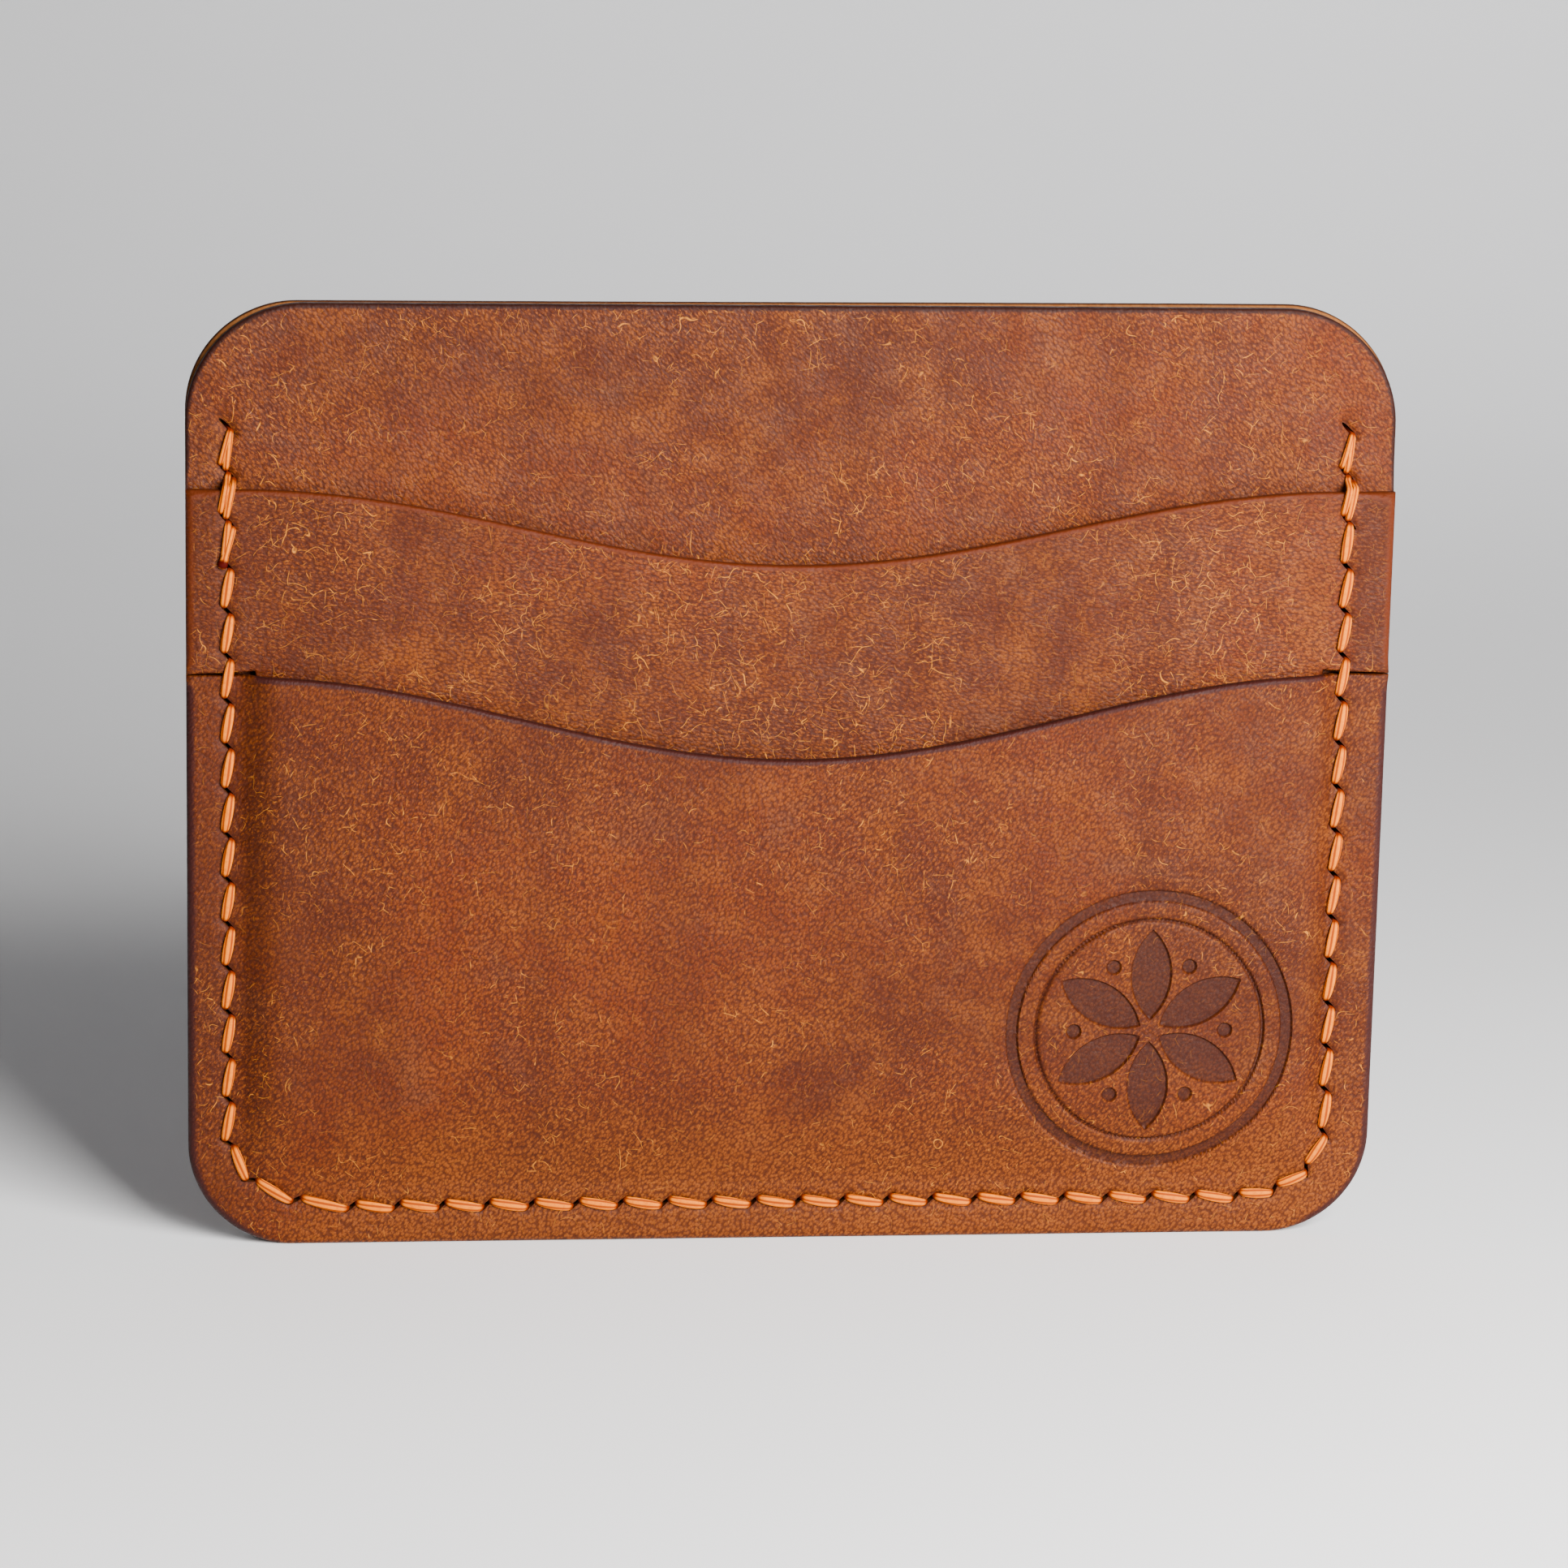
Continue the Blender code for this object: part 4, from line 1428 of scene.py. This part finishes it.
@dataclass(frozen=True)
class OiledLeather:
    """Vegetable-tanned leather with unevenly pulled oil, hair-fine scuffs and burnished edges."""

    name: str
    shift: float
    rarity: float = 0.56
    grain_turn: float = 0.7
    burnished: Triple = (28.0, 10.0, 9.0)
    deep: Triple = (51.0, 16.0, 3.0)
    warm: Triple = (90.0, 34.0, 4.0)
    pale: Triple = (120.0, 60.0, 12.0)
    golden: Triple = (112.0, 53.0, 2.0)
    ashen: Triple = (80.0, 44.0, 26.0)
    scuff: Triple = (208.0, 128.0, 34.0)
    pressed: Triple = (42.0, 16.0, 11.0)
    flesh: Triple = (172.0, 116.0, 62.0)
    bend_scale: float = 0.26
    hairs: tuple[Triple, ...] = (
        (0.4, 0.24, 3.0), (2.6, 0.36, 5.0), (0.9, 0.58, 2.2), (-0.7, 0.46, 6.0), (1.5, 0.30, 7.0),
    )

    def scuffs(self, bench: NodeBench) -> bpy.types.NodeSocket:
        """Hair-fine lines, straight and curled: the borders of scattered cells, broken up by a noise.

        The coordinates are first pushed aside by a slow noise, which bends the straight borders.
        """
        found = None
        for number, (turn, scale, bend) in enumerate(self.hairs):
            where = bench.flat(turn, self.shift + 31.0 * number)
            slow = {"Vector": where, "Scale": self.bend_scale, "Detail": 1.0}
            push = bench.add("TexNoise", slow, noise_dimensions="2D")
            bent = bench.add("VectorMath", {0: push.outputs["Color"], 1: (bend, bend, 0.0), 2: where},
                             operation="MULTIPLY_ADD").outputs[0]
            border = bench.cells(bent, scale, "DISTANCE_TO_EDGE")
            hair = bench.fade(border, 0.002 * scale, 0.040 * scale, 1.0, 0.0)
            kept = bench.fade(bench.noise(where, 0.55, 2.0, 0.6), self.rarity, self.rarity + 0.12)
            part = bench.sum_up("MULTIPLY", hair, kept)
            found = part if found is None else bench.sum_up("MAXIMUM", found, part)
        return bench.sum_up("MULTIPLY", found, bench.fade(self.worn(bench), 0.38, 0.62, 0.25, 1.0))

    def worn(self, bench: NodeBench) -> bpy.types.NodeSocket:
        """Where the leather has been handled most, as a slow noise."""
        return bench.noise(bench.flat(0.0, self.shift), 0.07, 3.0, 0.6)

    def ground(self, bench: NodeBench, mottle: bpy.types.NodeSocket) -> bpy.types.NodeSocket:
        """Clouds, mottling, golden and ashen patches, slow bands, and the stored tone: oil, painted shade
        and painted light.
        """
        cloud = bench.noise(bench.flat(0.0, self.shift), 0.032, 3.0, 0.5, 0.5)
        tone = bench.tint(paint(*self.deep), self.warm, bench.fade(cloud, 0.30, 0.70, 0.28, 1.0))
        tone = bench.tint(tone, self.pale, bench.fade(mottle, 0.36, 0.80, 0.0, 0.60))
        patch = bench.noise(bench.flat(0.4, self.shift + 90.0), 0.10, 6.0, 0.74, 0.4)
        tone = bench.tint(tone, self.golden, bench.fade(patch, 0.52, 0.72, 0.0, 0.50))
        tone = bench.tint(tone, self.ashen, bench.fade(patch, 0.30, 0.46, 0.50, 0.0))
        band = bench.noise(bench.flat(0.0, self.shift, 0.06), 0.17, 2.0)
        tone = bench.tint(tone, self.deep, bench.fade(band, 0.52, 0.70, 0.0, 0.30))
        oil_and_painted_light = bench.corner_value("tone")
        # Darker where the stored tone is positive: oil on the right border, painted shade beside the left
        # seam.
        tone = bench.tint(tone, self.deep, oil_and_painted_light, 0.85)
        # Lighter where it is negative: painted light towards the foot.
        return bench.tint(tone, self.pale, bench.fade(oil_and_painted_light, -1.0, 0.0, 0.62, 0.0))

    def grained(self, bench: NodeBench, tone: bpy.types.NodeSocket, speck: bpy.types.NodeSocket,
                pores: bpy.types.NodeSocket) -> bpy.types.NodeSocket:
        """Dark and pale specks, strongest where the skin is worn, and dark rims of the pores."""
        rough_skin = bench.fade(self.worn(bench), 0.35, 0.65, 0.50, 1.0)
        dark = bench.sum_up("MULTIPLY", bench.fade(speck, 0.48, 0.62), rough_skin)
        tone = bench.tint(tone, self.deep, dark, 0.85)
        light = bench.sum_up("MULTIPLY", bench.fade(speck, 0.36, 0.49, 1.0, 0.0), rough_skin)
        tone = bench.tint(tone, self.pale, light, 0.80)
        return bench.tint(tone, self.deep, bench.fade(pores, 0.28, 0.62, 0.0, 0.72))

    def colour(self, bench: NodeBench, pores: bpy.types.NodeSocket,
               scuffs: bpy.types.NodeSocket) -> bpy.types.NodeSocket:
        """Ground, grain, scuffs, pressed mark, flesh side, burnished edges and painted shade round the
        slits, one over another.

        Args:
            bench: the material's bench.
            pores: distance to the nearest pore.
            scuffs: how scuffed the surface is, from 0 to 1.

        Returns:
            The colour.
        """
        mottle = bench.noise(bench.flat(0.0, self.shift), 0.20, 5.0, 0.66)
        speck = bench.noise(bench.flat(self.grain_turn, self.shift, 0.5), 4.2, 4.0, 0.85)
        tone = self.grained(bench, self.ground(bench, mottle), speck, pores)
        tone = bench.tint(tone, self.scuff, scuffs, 0.58)
        tone = bench.tint(tone, self.pressed, bench.corner_value("press"), 0.72)
        flesh = bench.corner_value("flesh")
        fuzz = bench.noise(bench.millimetres(), 2.2, 5.0, 0.7, solid=True)
        tone = bench.blend(flesh, tone, bench.blend(fuzz, paint(*self.flesh), paint(*self.warm)))
        ragged = bench.sum_up("MULTIPLY_ADD", mottle, 0.6, bench.sum_up("MULTIPLY", speck, 0.55))
        rub = bench.sum_up("ADD", bench.corner_value("burnish"), bench.sum_up("ADD", ragged, -0.58))
        rub = bench.sum_up("MULTIPLY", bench.fade(rub, 0.30, 0.92), bench.fade(flesh, 0.0, 1.0, 0.94, 0.25))
        tone = bench.tint(tone, self.burnished, rub)
        # Painted shade round the slits.
        return bench.tint(tone, self.deep, bench.corner_value("slit_shade"), 0.55)

    def material(self) -> bpy.types.Material:
        """Lay out the leather's nodes."""
        bench = NodeBench(self.name)
        crease = bench.noise(bench.flat(self.grain_turn, self.shift, 0.6), 2.0, 5.0, 0.72, 0.3)
        pores = bench.cells(bench.flat(self.grain_turn, self.shift, 0.7), 3.9)
        scuffs = self.scuffs(bench)
        skin = bench.sum_up("MULTIPLY_ADD", pores, -0.45, crease)
        normal = bench.relief(skin, 0.10, 0.8)
        wave = bench.noise(bench.flat(0.0, self.shift), 0.16, 2.0)
        normal = bench.relief(wave, 0.5, 0.3, normal)
        fuzz = bench.noise(bench.millimetres(), 3.0, 4.0, 0.75, solid=True)
        normal = bench.relief(bench.sum_up("MULTIPLY", fuzz, bench.corner_value("flesh")), 0.16, 0.9, normal)
        rough = bench.fade(bench.noise(bench.flat(0.0, self.shift), 0.3, 3.0, 0.6), 0.3, 0.7, 0.46, 0.62)
        rough = bench.sum_up("MULTIPLY_ADD", scuffs, 0.12, rough)
        rough = bench.sum_up("MULTIPLY_ADD", bench.corner_value("flesh"), 0.30, rough)
        return bench.finish(Base_Color=self.colour(bench, pores, scuffs), Roughness=rough, Normal=normal,
                            Specular_IOR_Level=0.12)


@dataclass(frozen=True)
class WaxedThread:
    """Bright waxed thread of a few plies, with painted shade where it dives into a slit and darker where its
    end is melted.
    """

    name: str = "waxed_thread"
    bright: Triple = (212.0, 112.0, 0.0)
    shade: Triple = (138.0, 52.0, 0.0)
    dived_shade: Triple = (104.0, 30.0, 2.0)
    molten: Triple = (60.0, 8.0, 5.0)
    plies: float = 5.0
    lay: float = 7.0

    def material(self) -> bpy.types.Material:
        """Lay out the thread's nodes: a slow helix makes the plies."""
        bench = NodeBench(self.name)
        split = bench.add("SeparateXYZ", {"Vector": bench.add("UVMap", {}).outputs["UV"]})
        along, around = split.outputs["X"], split.outputs["Y"]
        turns = bench.sum_up("MULTIPLY", around, 2.0 * math.pi * self.plies)
        climb = bench.sum_up("MULTIPLY", along, 2.0 * math.pi / self.lay)
        ply = bench.fade(bench.sum_up("SINE", bench.sum_up("ADD", turns, climb)), -1.0, 0.3)
        fibre = bench.noise(bench.millimetres(), 3.0, 3.0, 0.6, solid=True)
        tone = bench.tint(paint(*self.shade), self.bright, ply)
        tone = bench.tint(tone, self.shade, bench.fade(fibre, 0.4, 0.75, 0.0, 0.35))
        # Painted shade where the thread dives into a slit.
        tone = bench.tint(tone, self.dived_shade, bench.fade(bench.corner_value("dip"), 0.2, 0.9))
        melt = bench.corner_value("melt")
        tone = bench.tint(tone, self.molten, bench.fade(melt, 0.1, 0.7))
        flat = bench.fade(melt, 0.1, 0.6, 1.0, 0.0)
        normal = bench.relief(bench.sum_up("MULTIPLY", ply, flat), 0.05, 0.6)
        rough = bench.fade(melt, 0.1, 0.7, 0.55, 0.22)
        return bench.finish(Base_Color=tone, Roughness=rough, Normal=normal, Specular_IOR_Level=0.03)


@dataclass(frozen=True)
class PaleBoard:
    """Matt pale board of the studio's sweep."""

    name: str = "pale_board"
    colour: Triple = (246.0, 246.0, 248.0)

    def material(self) -> bpy.types.Material:
        """Lay out the board's nodes."""
        bench = NodeBench(self.name)
        grain = bench.noise(bench.millimetres(), 0.02, 3.0, solid=True)
        low = paint(*(value - 3.0 for value in self.colour))
        return bench.finish(Base_Color=bench.blend(grain, low, paint(*self.colour)), Roughness=0.85)


# ---------------------------------------------------------------------------------------------
# Studio
# ---------------------------------------------------------------------------------------------

def facing(place: np.ndarray, ahead: np.ndarray, roll: float = 0.0) -> Matrix:
    """Placement of something that looks ahead along its own -Z, rolled about that line."""
    right = np.cross(ahead, [0.0, 0.0, 1.0])
    right /= np.linalg.norm(right)
    above = np.cross(right, ahead)
    turn = Matrix(np.column_stack([right, above, -ahead]).tolist()).to_4x4()
    return Matrix.Translation((place * MM).tolist()) @ turn @ Matrix.Rotation(math.radians(roll), 4, "Z")


@dataclass(frozen=True)
class Softbox:
    """A square softbox: where it hangs, the point it faces, its side, its watts and its tint."""

    name: str
    place: Triple
    aim: Triple
    size: float
    power: float
    colour: Triple = (1.0, 1.0, 1.0)

    def hang(self) -> None:
        """Add the light to the scene."""
        light = bpy.data.lights.new(self.name, "AREA")
        light.size = self.size * MM
        light.energy = self.power
        light.color = self.colour
        lamp = bpy.data.objects.new(self.name, light)
        bpy.context.scene.collection.objects.link(lamp)
        way = np.array(self.aim) - np.array(self.place)
        lamp.matrix_world = facing(np.array(self.place), way / np.linalg.norm(way))


@dataclass
class Studio:
    """Pale sweep, soft lights and the camera."""

    floor_half: float = 1400.0
    front_edge: float = -900.0
    wall_start: float = 420.0
    sweep_radius: float = 320.0
    wall_top: float = 1200.0
    dim: tuple[float, ...] = (0.9, 0.9, 0.9, 1.0)
    dim_strength: float = 0.035
    lamps: tuple[Softbox, ...] = (
        Softbox("key_softbox", (160.0, -308.0, 188.0), (0.0, 20.0, 25.0), 230.0, 6.3, (1.0, 0.985, 0.96)),
        Softbox("top_softbox", (320.0, 300.0, 820.0), (60.0, 300.0, 0.0), 600.0, 0.35),
        Softbox("wall_softbox", (220.0, 420.0, 420.0), (160.0, 800.0, 140.0), 300.0, 1.4),
    )
    camera_place: Triple = (-48.7, -441.1, 136.9)
    camera_turn: float = 6.23
    camera_tilt: float = 12.32
    camera_roll: float = 1.13
    lens: float = 122.1

    def sweep(self) -> bpy.types.Object:
        """Floor, quarter-round sweep and wall: one profile drawn out along X."""
        turn = np.radians(np.linspace(-90.0, 0.0, 25))
        bend_y = self.wall_start + self.sweep_radius * np.cos(turn)
        bend_z = self.sweep_radius * (1.0 + np.sin(turn))
        y = np.concatenate([[self.front_edge], bend_y, [self.wall_start + self.sweep_radius]])
        z = np.concatenate([[0.0], bend_z, [self.wall_top]])
        left = np.column_stack([np.full_like(y, -self.floor_half), y, z])
        right = left * [-1.0, 1.0, 1.0]
        first = np.arange(len(y) - 1)
        faces = np.column_stack([first, first + len(y), first + len(y) + 1, first + 1])
        corners = np.concatenate([left, right])
        board = mesh_object("studio_sweep", corners, faces.tolist(), PaleBoard().material())
        return board

    def build(self) -> None:
        """Make the sweep, the world, the lights and the camera."""
        self.sweep()
        world = bpy.data.worlds.new("studio_world")
        world.use_nodes = True
        background = world.node_tree.nodes["Background"]
        background.inputs["Color"].default_value = self.dim
        background.inputs["Strength"].default_value = self.dim_strength
        bpy.context.scene.world = world
        for lamp in self.lamps:
            lamp.hang()
        tilt, turn = math.radians(self.camera_tilt), math.radians(self.camera_turn)
        level = math.cos(tilt)
        ahead = np.array([level * math.sin(turn), level * math.cos(turn), -math.sin(tilt)])
        data = bpy.data.cameras.new("photographer")
        data.lens = self.lens
        data.clip_start = 10.0 * MM
        camera = bpy.data.objects.new("photographer", data)
        bpy.context.scene.collection.objects.link(camera)
        camera.matrix_world = facing(np.array(self.camera_place), ahead, self.camera_roll)
        bpy.context.scene.camera = camera


# ---------------------------------------------------------------------------------------------
# Card holder
# ---------------------------------------------------------------------------------------------

@dataclass
class CardHolder:
    """The whole piece of work: four sheets and two threads."""

    pattern: Pattern = field(default_factory=Pattern.from_frame)

    def long_front(self, spots: np.ndarray) -> np.ndarray:
        """Level of the front under the long seam: the panel above the tabs, pockets below."""
        cut = self.pattern
        return np.where(spots[:, 1] > cut.upper_mouth, cut.panel_y, cut.pocket_y)

    def long_back(self, spots: np.ndarray) -> np.ndarray:
        """Level of the back under the long seam."""
        return np.full(len(spots), self.pattern.back_y + self.pattern.leather)

    def foot_front(self, spots: np.ndarray) -> np.ndarray:
        """Level of the stem's front at its foot."""
        return np.full(len(spots), self.pattern.pocket_y)

    def foot_back(self, spots: np.ndarray) -> np.ndarray:
        """Level of the front panel's back."""
        return np.full(len(spots), self.pattern.panel_y + self.pattern.leather)

    def build(self) -> list[bpy.types.Object]:
        """Cut, crease and sew every piece."""
        cut = self.pattern
        thread = WaxedThread().material()
        sable, rust, plum = (52.0, 24.0, 12.0), (78.0, 30.0, 8.0), (46.0, 17.0, 15.0)
        skins = {
            "back": OiledLeather("back_skin", 0.0, burnished=sable).material(),
            "front": OiledLeather("front_skin", 57.0, 0.56, 0.75, (36.0, 14.0, 10.0)).material(),
            "upper": OiledLeather("upper_skin", 114.0, 0.52, 1.45, rust).material(),
            "lower": OiledLeather("lower_skin", 171.0, 0.59, -0.65, plum).material(),
        }
        long_plan, foot_plan = LongSeamPlan(), FootSeamPlan()
        seam, foot = long_plan.seam(), foot_plan.seam()
        everywhere, across = seam.only(lambda z: z > 0.0), foot.only(lambda z: z > 0.0)
        tabs = seam.only(lambda z: (z > cut.lower_mouth) & (z < cut.upper_mouth))
        below = seam.only(lambda z: z < cut.lower_mouth)
        back = BackPanel("back_panel_leather", "back_panel", cut, [(seam, everywhere)],
                         skins["back"], grain_face=Face.BACK)
        front = FrontPanel("front_panel_leather", "front_panel", cut, [(seam, everywhere), (foot, across)],
                           skins["front"])
        upper = UpperPocket("upper_pocket_leather", "upper_pocket", cut, [(seam, tabs), (foot, across)],
                            skins["upper"])
        lower = LowerPocket("lower_pocket_leather", "lower_pocket", cut, [(seam, below)], skins["lower"],
                            polish_reach=0.26)
        sheets = [back, front, upper, lower]
        pieces = [sheet.build() for sheet in sheets]
        for number, sheet in enumerate(sheets):
            sheet.declare(*([pieces[min(number, 2) - 1]] if number else []))
        long_thread = SewnThread("seam_thread_braid", "seam_thread", seam, long_plan.order(),
                                 {Face.FRONT: self.long_front, Face.BACK: self.long_back}, thread)
        thin = Strand((0.30, 0.16), (0.26, 0.15), (0.22, 0.13), 0.3)
        foot_thread = SewnThread("foot_thread_braid", "pocket_foot_thread", foot, foot_plan.order(),
                                 {Face.FRONT: self.foot_front, Face.BACK: self.foot_back}, thread,
                                 strand=thin, melted=False)
        return pieces + [long_thread.build(), foot_thread.build()]


def main() -> None:
    """Build the studio and the card holder, and log how many pieces it has."""
    logging.basicConfig(level=logging.INFO, format="%(message)s")
    Studio().build()
    pieces = CardHolder().build()
    LOG.info("card holder: %d pieces", len(pieces))


if __name__ == "__main__":
    main()
